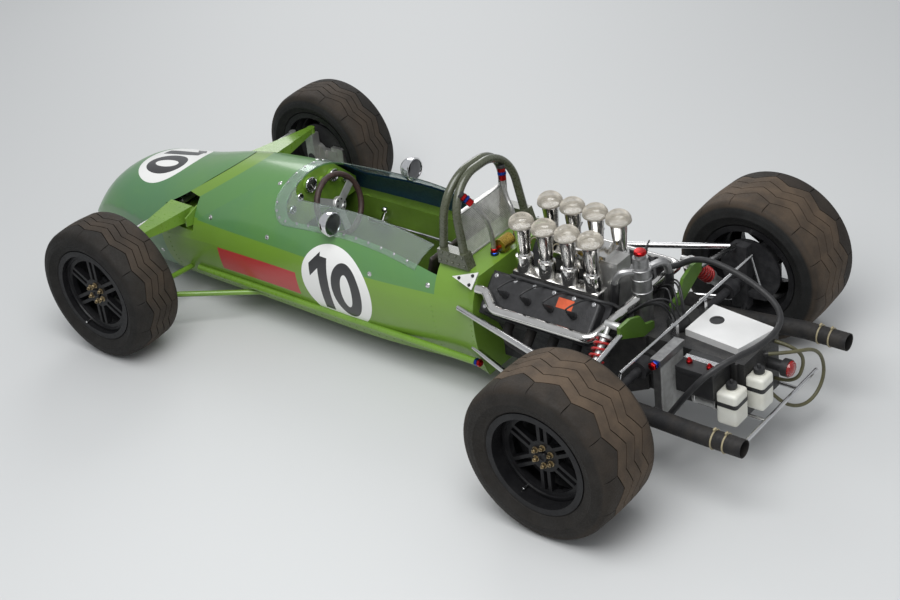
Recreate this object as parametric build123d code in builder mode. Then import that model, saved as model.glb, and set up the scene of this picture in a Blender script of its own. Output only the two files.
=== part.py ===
from build123d import *
import os
from math import cos, radians, sin

# Overall sizes in millimetres, nose to +X, left side to +Y
wheelbase = 2350
front_overhang = 850
rear_overhang = 550
nose_x = (wheelbase + front_overhang + rear_overhang) / 2
tail_x = -nose_x
rear_axle_x = tail_x + rear_overhang
front_axle_x = rear_axle_x + wheelbase
front_track = 1448
rear_track = 1466
fit_gap = 0.3

# Body form, from the nose lip to the tail bulkhead
tub_rear_x = rear_axle_x + 700
# station x, half foot, floor z, half belt, belt z, crown z
body_sections = [
    (nose_x, 88, 148, 148, 192, 240),
    (front_axle_x + 0.73 * front_overhang, 165, 122, 226, 236, 338),
    (front_axle_x + 0.39 * front_overhang, 212, 106, 278, 286, 456),
    (front_axle_x + 50, 232, 99, 303, 325, 560),
    (front_axle_x - 300, 234, 94, 306, 344, 630),
    (front_axle_x - 650, 238, 92, 306, 350, 660),
    (front_axle_x - 1150, 240, 91, 308, 352, 672),
    (tub_rear_x, 240, 91, 304, 352, 672),
]
nose_skin = 6
cowl_skin = 6

# Joints between nose, tub and cowl
nose_joint_x = front_axle_x + 125
nose_joint_knee_z = 425
nose_joint_top_x = front_axle_x - 330
nose_joint_top_z = 700
nose_gap = 5
cowl_front_step = 232
cowl_seam_z = 426
cowl_rear_x = tub_rear_x + 212
above_all_z = 1000
wide_half = rear_track

# Cockpit
cockpit_half_width = 238
cockpit_floor_z = 125
cockpit_front_x = front_axle_x - 350
open_top_front_x = front_axle_x - 478
seat_bulkhead_x = tub_rear_x + 240
bulkhead_top_z = 550
opening_half_width = 243
opening_front_x = front_axle_x - 595
opening_corner = 90
screen_thickness = 4
screen_half_width = 257
screen_edge_half = 174
screen_front_x = front_axle_x - 537
screen_rear_x = tub_rear_x + 268
screen_slant = 58
footwell_front_x = front_axle_x - 150
footwell_roof_z = 355

# Tunnel through the front of the tub for the rocker arms and rack
tunnel_rear_x = front_axle_x - 92
tunnel_front_x = front_axle_x + 132
tunnel_floor_z = 372
tunnel_roof_z = 506

# Seat
seat_thickness = 22
seat_width = 400
seat_profile = [(-330, 540), (-215, 200), (-90, 136), (140, 136), (235, 190)]
seat_x = seat_bulkhead_x + 365

# Dash and steering wheel
dash_x = front_axle_x - 596
dash_thickness = 6
dash_foot_z = 440
dash_half_width = 245
dash_shoulder_z = 507
dash_top_half = 85
dash_top_z = 662
# across y, height z, gauge radius
gauges = [
    (45, 606, 33),
    (-34, 588, 17),
    (119, 582, 17),
    (172, 546, 18),
    (-98, 584, 28),
    (-168, 540, 18),
]
gauge_depth = 14
wheel_centre = (front_axle_x - 716, 0, 517)
column_tilt = 16
rim_ring_radius = 128
rim_grip_radius = 13
column_radius = 12
column_length = 330
spoke_width = 34

# Mirrors
mirror_centre = (front_axle_x - 926, 266, 606)
mirror_radius = 50
mirror_depth = 62

# Roll hoop
hoop_tube = 17
hoop_foot_half = 203
hoop_shoulder_half = 182
hoop_top_z = 890
hoop_bend = 168
hoop_shoe_top_z = 612
# foot x, top x
hoops = [
    (tub_rear_x + 203, tub_rear_x + 172),
    (tub_rear_x + 85, tub_rear_x + 140),
]
guard_half_width = 150
guard_foot_x = tub_rear_x + 118
guard_top_x = tub_rear_x + 148
guard_top_z = 735

# Engine, a vee of two banks
engine_rear_x = rear_axle_x + 146
crank_z = 262
bank_angle = 45
deck_reach = 285
cover_reach = 332
bank_half_width = 88
cover_half_width = 80
cover_front_x = tub_rear_x - 22
cover_rear_x = rear_axle_x + 170
sump_z = 125
sump_half = 130
# cylinder positions along the banks
bore_stations = [rear_axle_x + 262, rear_axle_x + 368, rear_axle_x + 474, rear_axle_x + 580]
trumpet_y = 95
trumpet_base_z = 602
trumpet_mouth_z = 738
trumpet_tube = 35
trumpet_mouth = 43
trumpet_flare = 24
dome_rise = 46

# Gearbox and tail
gearbox_half = 135
gearbox_top_z = 425
gearbox_floor_z = 190
gearbox_rear_x = rear_axle_x - 400
gearbox_ribs = 5
tail_pipe_radius = 35
tail_pipe_y = 387
tail_pipe_z = 276
tail_pipe_straight = 180

# Wheels: name, axle x, side, track, radius, tyre width, rim width, spoke inset
wheels = [
    ("front_left", front_axle_x, 1, front_track, 305, 252, 213, 46),
    ("front_right", front_axle_x, -1, front_track, 305, 252, 213, 46),
    ("rear_left", rear_axle_x, 1, rear_track, 322, 330, 294, 78),
    ("rear_right", rear_axle_x, -1, rear_track, 322, 330, 294, 78),
]
front_radius = 305
rear_radius = 322
bead_radius = 190.5
flange_radius = 208
well_radius = 172
barrel_wall = 6.5
spoke_ring = 151
spoke_offset = 15

# Front knuckles
kingpin_y = front_track / 2 - 124
knuckle_top_z = 425
knuckle_foot_z = 194
steer_arm_reach = 105
steer_arm_y = kingpin_y - 20
steer_arm_top_z = 400
axle_radius = 20
disc_radius = 135
disc_thickness = 12

# Free hoses: route points
breather_route = [
    (cover_rear_x, -183, 527),
    (rear_axle_x + 92, -183, 527),
    (rear_axle_x - 22, -203, 610),
    (rear_axle_x - 232, -196, 575),
    (rear_axle_x - 415, -150, 508),
    (rear_axle_x - 452, 10, 482),
    (rear_axle_x - 365, 255, 485),
    (rear_axle_x - 275, 315, 375),
    (rear_axle_x - 187, 304, 240),
]
vent_route = [
    (gearbox_rear_x, -100, 400),
    (rear_axle_x - 482, -100, 400),
    (rear_axle_x - 499, -148, 318),
    (rear_axle_x - 487, -95, 240),
    (gearbox_rear_x, -95, 240),
]
drain_route = [
    (rear_axle_x - 415, -26, 391.5),
    (rear_axle_x - 490, -56, 404),
    (rear_axle_x - 524, -208, 350),
    (rear_axle_x - 520, -265, 190),
    (rear_axle_x - 505, -170, 110),
    (rear_axle_x - 460, -60, 150),
    (rear_axle_x - 412, -44, 210),
]
fuel_left_route = [
    (tub_rear_x + 95, 142, 812),
    (tub_rear_x + 49, 121, 764),
    (tub_rear_x + 45, 76, 660),
    (tub_rear_x + 45, 76, bulkhead_top_z),
]
fuel_right_route = [
    (tub_rear_x + 122, -114, 795),
    (tub_rear_x + 114, -106, 720),
    (tub_rear_x + 50, -81, 650),
    (tub_rear_x + 50, -81, bulkhead_top_z),
]


def body_block(inset):
    """The whole body form drawn in by the inset."""
    with BuildPart() as block:
        for x, foot, floor, belt, belt_z, crown in body_sections:
            with BuildSketch(Plane(origin=(x, 0, 0), x_dir=(0, 1, 0), z_dir=(1, 0, 0))):
                with BuildLine():
                    Line((inset - foot, floor + inset), (foot - inset, floor + inset))
                    TangentArc((belt - inset, belt_z), (foot - inset, floor + inset), tangent=(0, -1))
                    ThreePointArc((belt - inset, belt_z), (0, crown - inset), (inset - belt, belt_z))
                    TangentArc((inset - belt, belt_z), (inset - foot, floor + inset), tangent=(0, -1))
                make_face()
        loft()
    return block.part


def side_slab(outline, half_width):
    """A slab with a side-view outline, carried across to both sides."""
    with BuildPart() as slab:
        with BuildSketch(Plane.XZ):
            with BuildLine():
                Polyline(*outline, close=True)
            make_face()
        extrude(amount=half_width, both=True)
    return slab.part


def plan_block(rear_x, front_x, half_width):
    """A tall block over the cockpit with rounded front corners."""
    with BuildPart() as block:
        with BuildSketch(Plane.XY.offset(cowl_seam_z + 20)):
            with BuildLine():
                FilletPolyline(
                    (rear_x, -half_width),
                    (front_x, -half_width),
                    (front_x, half_width),
                    (rear_x, half_width),
                    radius=opening_corner,
                )
                Line((rear_x, half_width), (rear_x, -half_width))
            make_face()
        extrude(amount=above_all_z)
    return block.part


def rod(start, end, radius):
    """A straight round bar."""
    run = Vector(*end) - Vector(*start)
    with BuildPart() as bar:
        with BuildSketch(Plane(origin=start, z_dir=run)):
            Circle(radius)
        extrude(amount=run.length)
    return bar.part


def pipe(points, radius, bend):
    """A round pipe of straight runs and tangent bends."""
    with BuildPart() as run:
        with BuildLine() as path:
            FilletPolyline(*points, radius=bend)
        with BuildSketch(Plane(origin=path.line @ 0, z_dir=path.line % 0)):
            Circle(radius)
        sweep(path=path.line)
    return run.part


def end_stub(end, inward, reach, radius):
    """A fitting in line with a hose's last run, carrying its end."""
    along = (Vector(*end) - Vector(*inward)).normalized()
    return rod(end, Vector(*end) + along * reach, radius)


def block(low, high):
    """A box between two opposite corners."""
    size = [b - a for a, b in zip(low, high)]
    with BuildPart() as piece:
        with Locations(low):
            Box(*size, align=(Align.MIN, Align.MIN, Align.MIN))
    return piece.part


def save(piece, name):
    """Label one sub-part and write its file."""
    piece.part.label = name
    export_step(piece.part, f"parts/{name}.step")


os.makedirs("parts", exist_ok=True)

# Body form and the zones it is divided into
body = body_block(0)
body_clear = body_block(-fit_gap)
body_inside = body_block(cowl_skin)
nose_zone = side_slab(
    [
        (nose_joint_x, 0),
        (nose_joint_x, nose_joint_knee_z),
        (nose_joint_top_x, nose_joint_top_z),
        (nose_joint_top_x, above_all_z),
        (nose_x + 100, above_all_z),
        (nose_x + 100, 0),
    ],
    wide_half,
)
tub_end_zone = side_slab(
    [
        (nose_joint_x - nose_gap, 0),
        (nose_joint_x - nose_gap, nose_joint_knee_z),
        (nose_joint_top_x - nose_gap, nose_joint_top_z),
        (nose_joint_top_x - nose_gap, above_all_z),
        (nose_x + 100, above_all_z),
        (nose_x + 100, 0),
    ],
    wide_half,
)
seam_share = (cowl_seam_z - nose_joint_knee_z) / (nose_joint_top_z - nose_joint_knee_z)
seam_front_x = nose_joint_x + seam_share * (nose_joint_top_x - nose_joint_x) - cowl_front_step
cowl_zone = side_slab(
    [
        (cowl_rear_x, cowl_seam_z),
        (seam_front_x, cowl_seam_z),
        (nose_joint_top_x - cowl_front_step, nose_joint_top_z),
        (nose_joint_top_x - cowl_front_step, above_all_z),
        (cowl_rear_x, above_all_z),
    ],
    wide_half,
)

with BuildPart() as nose_cone:
    add(body)
    add(nose_zone, mode=Mode.INTERSECT)
    add(body_block(nose_skin), mode=Mode.SUBTRACT)
save(nose_cone, "nose_cone")

with BuildPart() as covered_hollow:
    add(
        block(
            (open_top_front_x, -cockpit_half_width, cockpit_floor_z),
            (cockpit_front_x, cockpit_half_width, above_all_z),
        )
    )
    add(body_inside, mode=Mode.INTERSECT)

with BuildPart() as tub:
    add(body)
    add(tub_end_zone, mode=Mode.SUBTRACT)
    add(cowl_zone, mode=Mode.SUBTRACT)
    add(
        block(
            (seat_bulkhead_x, -cockpit_half_width, cockpit_floor_z),
            (open_top_front_x, cockpit_half_width, above_all_z),
        ),
        mode=Mode.SUBTRACT,
    )
    add(covered_hollow.part, mode=Mode.SUBTRACT)
    add(
        block(
            (cockpit_front_x, -cockpit_half_width, cockpit_floor_z),
            (footwell_front_x, cockpit_half_width, footwell_roof_z),
        ),
        mode=Mode.SUBTRACT,
    )
    add(
        block(
            (tunnel_rear_x, -wide_half, tunnel_floor_z),
            (tunnel_front_x, wide_half, tunnel_roof_z),
        ),
        mode=Mode.SUBTRACT,
    )
    add(
        block(
            (tub_rear_x, -wide_half, bulkhead_top_z),
            (cowl_rear_x, wide_half, above_all_z),
        ),
        mode=Mode.SUBTRACT,
    )
save(tub, "tub")

with BuildPart() as cowl:
    add(body)
    add(cowl_zone, mode=Mode.INTERSECT)
    add(body_inside, mode=Mode.SUBTRACT)
    add(plan_block(cowl_rear_x - 50, opening_front_x, opening_half_width), mode=Mode.SUBTRACT)
save(cowl, "cowl")

with BuildPart() as windscreen:
    add(body_block(-fit_gap - screen_thickness))
    add(body_clear, mode=Mode.SUBTRACT)
    add(plan_block(screen_rear_x, screen_front_x, screen_half_width), mode=Mode.INTERSECT)
    add(plan_block(screen_rear_x - 50, opening_front_x, screen_edge_half), mode=Mode.SUBTRACT)
    with BuildSketch(Plane.XY.offset(cowl_seam_z)):
        for side in (1, -1):
            with BuildLine():
                Polyline(
                    (screen_rear_x - 1, side * screen_edge_half / 2),
                    (screen_rear_x - 1, side * (screen_half_width + 20)),
                    (screen_rear_x + screen_slant, side * (screen_half_width + 20)),
                    (screen_rear_x, side * screen_edge_half),
                    close=True,
                )
            make_face()
    extrude(amount=above_all_z, mode=Mode.SUBTRACT)
save(windscreen, "windscreen")

with BuildPart() as radiator:
    add(block((front_axle_x + 480, -wide_half, 0), (front_axle_x + 530, wide_half, above_all_z)))
    add(body_block(nose_skin + fit_gap), mode=Mode.INTERSECT)
save(radiator, "radiator")

with BuildPart() as seat:
    with BuildSketch(Plane.XZ):
        with BuildLine() as seat_line:
            FilletPolyline(*[(seat_x + along, height) for along, height in seat_profile], radius=60)
        trace(lines=seat_line.line, line_width=seat_thickness)
    extrude(amount=seat_width / 2, both=True)
    add(block((seat_bulkhead_x - 100, -wide_half, 0), (nose_x, wide_half, cockpit_floor_z)), mode=Mode.SUBTRACT)
    add(block((tub_rear_x, -wide_half, 0), (seat_bulkhead_x, wide_half, above_all_z)), mode=Mode.SUBTRACT)
save(seat, "seat")

# Dash with its gauges, and the wheel on its column
column_dir = Vector(-cos(radians(column_tilt)), 0, sin(radians(column_tilt)))
column_foot = Vector(*wheel_centre) - column_dir * column_length
with BuildPart() as dash:
    with BuildSketch(Plane(origin=(dash_x, 0, 0), x_dir=(0, 1, 0), z_dir=(1, 0, 0))):
        with BuildLine():
            Polyline(
                (-dash_half_width, dash_foot_z),
                (dash_half_width, dash_foot_z),
                (dash_half_width, dash_shoulder_z),
                (dash_top_half, dash_top_z),
                (-dash_top_half, dash_top_z),
                (-dash_half_width, dash_shoulder_z),
                close=True,
            )
        make_face()
    extrude(amount=dash_thickness)
    add(body_block(cowl_skin + fit_gap), mode=Mode.INTERSECT)
    for across, height, gauge_radius in gauges:
        add(rod((dash_x, across, height), (dash_x - gauge_depth, across, height), gauge_radius))
    add(rod(wheel_centre, column_foot, column_radius + 0.5), mode=Mode.SUBTRACT)
save(dash, "dash")

wheel_plane = Plane(origin=wheel_centre, x_dir=(0, 1, 0), z_dir=column_dir)
with BuildPart(wheel_plane) as steering_wheel:
    Torus(rim_ring_radius, rim_grip_radius)
    with PolarLocations(rim_ring_radius / 2, 3, start_angle=90):
        Box(rim_ring_radius, spoke_width, 5)
    Cylinder(34, 14)
    Cylinder(column_radius, column_length, align=(Align.CENTER, Align.CENTER, Align.MAX))
save(steering_wheel, "steering_wheel")

with BuildPart() as gear_lever:
    lever_y = 30 - cockpit_half_width
    lever_foot = (wheel_centre[0] - 30, lever_y, 330)
    lever_head = (wheel_centre[0] - 62, lever_y, 400)
    add(rod((lever_foot[0] + 60, lever_y, 330), (seat_bulkhead_x, lever_y, 330), 7))
    add(rod((lever_foot[0] - 40, lever_y, 330), (lever_foot[0] + 60, lever_y, 330), 16))
    add(rod(lever_foot, lever_head, 6))
    with Locations(lever_head):
        Sphere(15)
    add(rod((lever_foot[0], -cockpit_half_width, 330), (lever_foot[0], lever_y, 330), 12))
save(gear_lever, "gear_lever")

with BuildPart() as mirrors:
    mx, my, mz = mirror_centre
    with BuildSketch(Plane(origin=mirror_centre, x_dir=(1, 0, 0), z_dir=(0, -1, 0))):
        with BuildLine():
            Line((0, 0), (0, mirror_radius))
            Line((0, mirror_radius), (mirror_depth - mirror_radius, mirror_radius))
            TangentArc(
                (mirror_depth - mirror_radius, mirror_radius),
                (mirror_depth, 0),
                tangent=(1, 0),
            )
            Line((mirror_depth, 0), (0, 0))
        make_face()
    revolve(axis=Axis(mirror_centre, (1, 0, 0)))
    add(rod((mx + 22, my, mz), (mx + 30, my - 22, mz - 100), 6))
    add(body_block(-screen_thickness - 2 * fit_gap), mode=Mode.SUBTRACT)
    mirror(about=Plane.XZ)
save(mirrors, "mirrors")

with BuildPart() as roll_hoop:
    for foot_x, top_x in hoops:
        add(
            pipe(
                [
                    (foot_x, hoop_foot_half, bulkhead_top_z - 12),
                    (top_x, hoop_shoulder_half, hoop_top_z),
                    (top_x, -hoop_shoulder_half, hoop_top_z),
                    (foot_x, -hoop_foot_half, bulkhead_top_z - 12),
                ],
                hoop_tube,
                hoop_bend,
            )
        )
    for side in (1, -1):
        with BuildSketch(Plane(origin=(0, side * hoop_foot_half, 0), x_dir=(1, 0, 0), z_dir=(0, -1, 0))):
            with BuildLine():
                Polyline(
                    (hoops[1][0] - 27, bulkhead_top_z),
                    (hoops[0][0] + 6, bulkhead_top_z),
                    (hoops[0][0] + 6, hoop_shoe_top_z),
                    (hoops[1][0] - 8, hoop_shoe_top_z),
                    close=True,
                )
            make_face()
        extrude(amount=24, both=True)
    add(block((tub_rear_x - 50, -wide_half, 0), (nose_x, wide_half, bulkhead_top_z)), mode=Mode.SUBTRACT)
    for route in (fuel_left_route, fuel_right_route):
        add(end_stub(route[0], route[1], 40, 11))
save(roll_hoop, "roll_hoop")

with BuildPart() as mesh_guard:
    add(
        side_slab(
            [
                (guard_foot_x, bulkhead_top_z),
                (guard_foot_x + 3, bulkhead_top_z),
                (guard_top_x, guard_top_z - 3),
                (guard_top_x + 20, guard_top_z - 3),
                (guard_top_x + 20, guard_top_z),
                (guard_top_x - 3, guard_top_z),
            ],
            guard_half_width,
        )
    )
save(mesh_guard, "mesh_guard")

with BuildPart() as fuel_filter:
    filter_x = tub_rear_x + 29
    add(rod((filter_x, 62, 586), (filter_x, -8, 586), 27))
    add(block((filter_x - 12, 8, bulkhead_top_z), (filter_x + 12, 46, 575)))
save(fuel_filter, "fuel_filter")

mount_corners = [
    Vector(tub_rear_x + 115, 260.3, 529.5),
    Vector(tub_rear_x + 1, 234.6, 564.6),
    Vector(tub_rear_x + 13, 274.7, 503.6),
]
mount_normal = (mount_corners[2] - mount_corners[0]).cross(mount_corners[1] - mount_corners[0])
mount_plane = Plane(origin=mount_corners[0], x_dir=mount_corners[1] - mount_corners[0], z_dir=mount_normal)
with BuildPart() as engine_mounts:
    with BuildSketch(mount_plane):
        with BuildLine():
            Polyline(*[mount_plane.to_local_coords(corner) for corner in mount_corners], close=True)
        make_face()
    extrude(amount=5)
    mirror(about=Plane.XZ)
save(engine_mounts, "engine_mounts")

# Engine banks, measured along and across each bank from the crank
lean = sin(radians(bank_angle))
rise = cos(radians(bank_angle))


def bank_point(reach, across):
    """Across-car and height position on the left bank."""
    return (lean * reach + rise * across, crank_z + rise * reach - lean * across)


with BuildPart() as engine_block:
    with BuildSketch(Plane(origin=(engine_rear_x, 0, 0), x_dir=(0, 1, 0), z_dir=(1, 0, 0))):
        with BuildLine():
            Polyline(
                (0, sump_z),
                (sump_half, sump_z),
                (sump_half, crank_z - 20),
                bank_point(130, bank_half_width),
                bank_point(deck_reach, bank_half_width),
                bank_point(deck_reach, -bank_half_width),
                (60, 430),
                (0, 430),
                close=True,
            )
        make_face()
        mirror(about=Plane.YZ)
    extrude(amount=tub_rear_x - engine_rear_x)
save(engine_block, "engine_block")

deck_y, deck_z = bank_point(deck_reach, 0)
cover_height = cover_reach - deck_reach
bank_up = Vector(0, lean, rise)
cover_plane = Plane(origin=(cover_rear_x, deck_y, deck_z), x_dir=(1, 0, 0), z_dir=bank_up)
with BuildPart() as cam_covers:
    with BuildSketch(cover_plane):
        with Locations(((cover_front_x - cover_rear_x) / 2, 0)):
            RectangleRounded(cover_front_x - cover_rear_x, 2 * cover_half_width, 22)
    extrude(amount=cover_height)
    fillet(cam_covers.faces().sort_by(Axis((0, 0, 0), bank_up))[-1].edges(), 12)
    with BuildSketch(cover_plane.offset(cover_height)):
        with Locations(*[(x - cover_rear_x, 0) for x in bore_stations]):
            Circle(15)
    extrude(amount=9)
    mirror(about=Plane.XZ)
save(cam_covers, "cam_covers")

with BuildPart() as one_trumpet:
    with BuildSketch(Plane.XZ):
        with BuildLine():
            Line((trumpet_tube - 3, trumpet_base_z), (trumpet_tube, trumpet_mouth_z - trumpet_flare))
            TangentArc(
                (trumpet_tube, trumpet_mouth_z - trumpet_flare),
                (trumpet_mouth, trumpet_mouth_z),
                tangent=(0, 1),
            )
            Line((trumpet_mouth, trumpet_mouth_z), (trumpet_mouth - 3, trumpet_mouth_z))
            Polyline(
                (trumpet_mouth - 3, trumpet_mouth_z),
                (trumpet_tube - 4, trumpet_mouth_z - trumpet_flare),
                (trumpet_tube - 7, trumpet_base_z),
                (trumpet_tube - 3, trumpet_base_z),
            )
        make_face()
    revolve(axis=Axis.Z)

with BuildPart() as one_gauze:
    with BuildSketch(Plane.XZ):
        with BuildLine():
            Line((trumpet_mouth - 3, trumpet_mouth_z), (trumpet_mouth + 1, trumpet_mouth_z))
            Line((trumpet_mouth + 1, trumpet_mouth_z), (trumpet_mouth + 1, trumpet_mouth_z + 9))
            TangentArc(
                (0, trumpet_mouth_z + dome_rise),
                (trumpet_mouth + 1, trumpet_mouth_z + 9),
                tangent=(1, 0),
            )
            Line((0, trumpet_mouth_z + dome_rise), (0, trumpet_mouth_z + dome_rise - 3))
            TangentArc(
                (0, trumpet_mouth_z + dome_rise - 3),
                (trumpet_mouth - 3, trumpet_mouth_z + 9),
                tangent=(1, 0),
            )
            Line((trumpet_mouth - 3, trumpet_mouth_z + 9), (trumpet_mouth - 3, trumpet_mouth_z))
        make_face()
    revolve(axis=Axis.Z)

with BuildPart() as intake_trumpets:
    add(
        block(
            (bore_stations[0] - 42, trumpet_y - trumpet_tube, 460),
            (bore_stations[-1] + 42, trumpet_y + trumpet_tube, trumpet_base_z - 60),
        )
    )
    with Locations(*[(x, trumpet_y, trumpet_base_z - 60) for x in bore_stations]):
        Cylinder(trumpet_tube, 60, align=(Align.CENTER, Align.CENTER, Align.MIN))
    add(engine_block.part, mode=Mode.SUBTRACT)
    add(cam_covers.part, mode=Mode.SUBTRACT)
    with Locations(*[(x, trumpet_y, 0) for x in bore_stations]):
        add(one_trumpet.part)
    mirror(about=Plane.XZ)
save(intake_trumpets, "intake_trumpets")

with BuildPart() as trumpet_gauzes:
    with Locations(*[(x, side * trumpet_y, 0) for x in bore_stations for side in (1, -1)]):
        add(one_gauze.part)
save(trumpet_gauzes, "trumpet_gauzes")

with BuildPart() as metering_box:
    add(block((engine_rear_x + 38, -46, 430), (engine_rear_x + 118, 46, 642)))
save(metering_box, "metering_box")

header_spot = (rear_axle_x + 92, 22)
header_radius = 38
with BuildPart() as water_header:
    add(rod((*header_spot, gearbox_top_z), (*header_spot, 640), header_radius))
    add(rod((*header_spot, 640), (*header_spot, 690), 30))
    add(rod((*header_spot, 690), (*header_spot, 704), 21))
save(water_header, "water_header")

with BuildPart() as water_pipes:
    for side in (1, -1):
        add(
            pipe(
                [
                    (tub_rear_x, side * 258, 505),
                    (tub_rear_x - 42, side * 258, 505),
                    (tub_rear_x - 112, side * 308, 470),
                    (rear_axle_x + 138, side * 308, 470),
                    (*header_spot, 530),
                ],
                19,
                45,
            )
        )
    add(rod((*header_spot, 400), (*header_spot, 720), header_radius + fit_gap), mode=Mode.SUBTRACT)
save(water_pipes, "water_pipes")

shaft_end_y = 152
with BuildPart() as gearbox:
    for x, half, low in ((engine_rear_x, 185, 150), (rear_axle_x + 10, gearbox_half, gearbox_floor_z)):
        with BuildSketch(Plane(origin=(x, 0, 0), x_dir=(0, 1, 0), z_dir=(1, 0, 0))):
            with Locations((0, (low + gearbox_top_z) / 2)):
                Rectangle(2 * half, gearbox_top_z - low)
    loft(ruled=True)
    add(
        block(
            (gearbox_rear_x, 10 - gearbox_half, gearbox_floor_z),
            (rear_axle_x + 10, gearbox_half - 10, gearbox_top_z),
        )
    )
    add(rod((rear_axle_x, -shaft_end_y, rear_radius), (rear_axle_x, shaft_end_y, rear_radius), 48))
    for rib in range(gearbox_ribs):
        rib_x = gearbox_rear_x + 24 + 34 * rib
        add(block((rib_x, -gearbox_half, gearbox_top_z - 150), (rib_x + 8, 10 - gearbox_half, gearbox_top_z)))
        add(block((rib_x, gearbox_half - 10, gearbox_top_z - 150), (rib_x + 8, gearbox_half, gearbox_top_z)))
    add(end_stub(drain_route[0], drain_route[1], 26, 9))
    add(end_stub(drain_route[-1], drain_route[-2], 34, 9))
save(gearbox, "gearbox")

tank_depth = 28
tank_corners = [(-112, 54), (-116, -142), (-400, -108), (-350, 78)]
with BuildPart() as catch_tank:
    with BuildSketch(Plane.XY.offset(gearbox_top_z)):
        with BuildLine():
            Polyline(*[(rear_axle_x + x, y) for x, y in tank_corners], close=True)
        make_face()
        with Locations((rear_axle_x - 184, -52)):
            Circle(19, mode=Mode.SUBTRACT)
    extrude(amount=tank_depth)
save(catch_tank, "catch_tank")

# Exhausts: bore station, drop from the port, collector entry y, collector entry z
primaries = [
    (bore_stations[3], 60, 326, 240),
    (bore_stations[2], 92, 366, 240),
    (bore_stations[1], 62, 326, 282),
    (bore_stations[0], 64, 366, 282),
]
collector_x = rear_axle_x + 120
with BuildPart() as exhaust_left:
    port_y, port_z = bank_point(230, bank_half_width)
    for station, drop, entry_y, entry_z in primaries:
        bend_y, bend_z = bank_point(230, bank_half_width + drop)
        add(
            pipe(
                [
                    (station, port_y, port_z),
                    (station, bend_y, bend_z),
                    (collector_x, entry_y, entry_z),
                ],
                20,
                44,
            )
        )
    with BuildSketch(Plane(origin=(collector_x + 12, 346, 261), z_dir=(-1, 0, 0))):
        Circle(56)
    with BuildSketch(Plane(origin=(collector_x - 130, 356, 258), z_dir=(-1, 0, 0))):
        Circle(tail_pipe_radius)
    loft(ruled=True)
    with BuildSketch(Plane(origin=(collector_x - 130, 356, 258), z_dir=(-1, 0, 0))):
        Circle(tail_pipe_radius)
    with BuildSketch(Plane(origin=(tail_x + tail_pipe_straight, tail_pipe_y, tail_pipe_z), z_dir=(-1, 0, 0))):
        Circle(tail_pipe_radius)
    loft(ruled=True)
    add(
        rod(
            (tail_x + tail_pipe_straight, tail_pipe_y, tail_pipe_z),
            (tail_x, tail_pipe_y, tail_pipe_z),
            tail_pipe_radius,
        )
    )
    with BuildSketch(Plane(origin=(tail_x, tail_pipe_y, tail_pipe_z), z_dir=(1, 0, 0))):
        Circle(tail_pipe_radius - 3)
    extrude(amount=160, mode=Mode.SUBTRACT)
save(exhaust_left, "exhaust_left")

with BuildPart() as exhaust_right:
    add(mirror(exhaust_left.part, about=Plane.XZ, mode=Mode.PRIVATE))
save(exhaust_right, "exhaust_right")

with BuildPart() as oil_cooler:
    add(block((rear_axle_x - 164, 156, 232), (rear_axle_x - 134, 312, 452)))
    add(block((rear_axle_x - 170, 178, 205), (rear_axle_x - 128, 316, 232)))
    add(block((rear_axle_x - 170, 152, 452), (rear_axle_x - 128, 316, 480)))
    add(block((rear_axle_x - 156, gearbox_half, 300), (rear_axle_x - 142, 156, 340)))
    add(end_stub(breather_route[-1], breather_route[-2], 34, 14))
save(oil_cooler, "oil_cooler")

with BuildPart() as battery:
    add(block((rear_axle_x - 347, gearbox_half, 326), (rear_axle_x - 190, 252, 432)))
save(battery, "battery")

with BuildPart() as fuel_pump:
    add(rod((rear_axle_x - 335, 190, 290), (rear_axle_x - 245, 190, 290), 34))
    add(block((rear_axle_x - 310, gearbox_half, 278), (rear_axle_x - 270, 190, 326)))
save(fuel_pump, "fuel_pump")

# Bottles: rear x, front x, right y, left y, foot z, top z
bottle_boxes = [
    (rear_axle_x - 432, rear_axle_x - 347, 150, 240, 225, 362),
    (gearbox_rear_x - 76, gearbox_rear_x, 42, 124, 240, 378),
]
with BuildPart() as bottles:
    for rear_x, front_x, right_y, left_y, foot_z, top_z in bottle_boxes:
        add(block((rear_x, right_y, foot_z), (front_x, left_y, top_z)))
        middle = ((rear_x + front_x) / 2, (right_y + left_y) / 2)
        add(rod((*middle, top_z), (*middle, top_z + 32), 21))
save(bottles, "bottles")

lamp_y = -52
lamp_z = 335
with BuildPart() as tail_lamp:
    add(rod((gearbox_rear_x, lamp_y, lamp_z), (gearbox_rear_x - 62, lamp_y, lamp_z), 22))
    add(rod((gearbox_rear_x - 62, lamp_y, lamp_z), (gearbox_rear_x - 88, lamp_y, lamp_z), 34))
save(tail_lamp, "tail_lamp")

with BuildPart() as tail_bar:
    bar_x = gearbox_rear_x - 82
    add(rod((bar_x, -262, 205), (bar_x, 262, 205), 8))
    for side in (1, -1):
        add(rod((gearbox_rear_x, side * 118, 205), (bar_x, side * 118, 205), 7))
save(tail_bar, "tail_bar")

# Rear suspension
frame_x = rear_axle_x + 18
with BuildPart() as rear_frame:
    with BuildSketch(Plane(origin=(frame_x, 0, 0), x_dir=(0, 1, 0), z_dir=(1, 0, 0))):
        with BuildLine():
            Polyline((62, 425), (135, 425), (285, 498), (285, 545), (215, 546), (150, 522), (118, 470), (62, 452),
                     close=True)
        make_face()
    extrude(amount=14)
    mirror(about=Plane.XZ)
save(rear_frame, "rear_frame")

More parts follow.
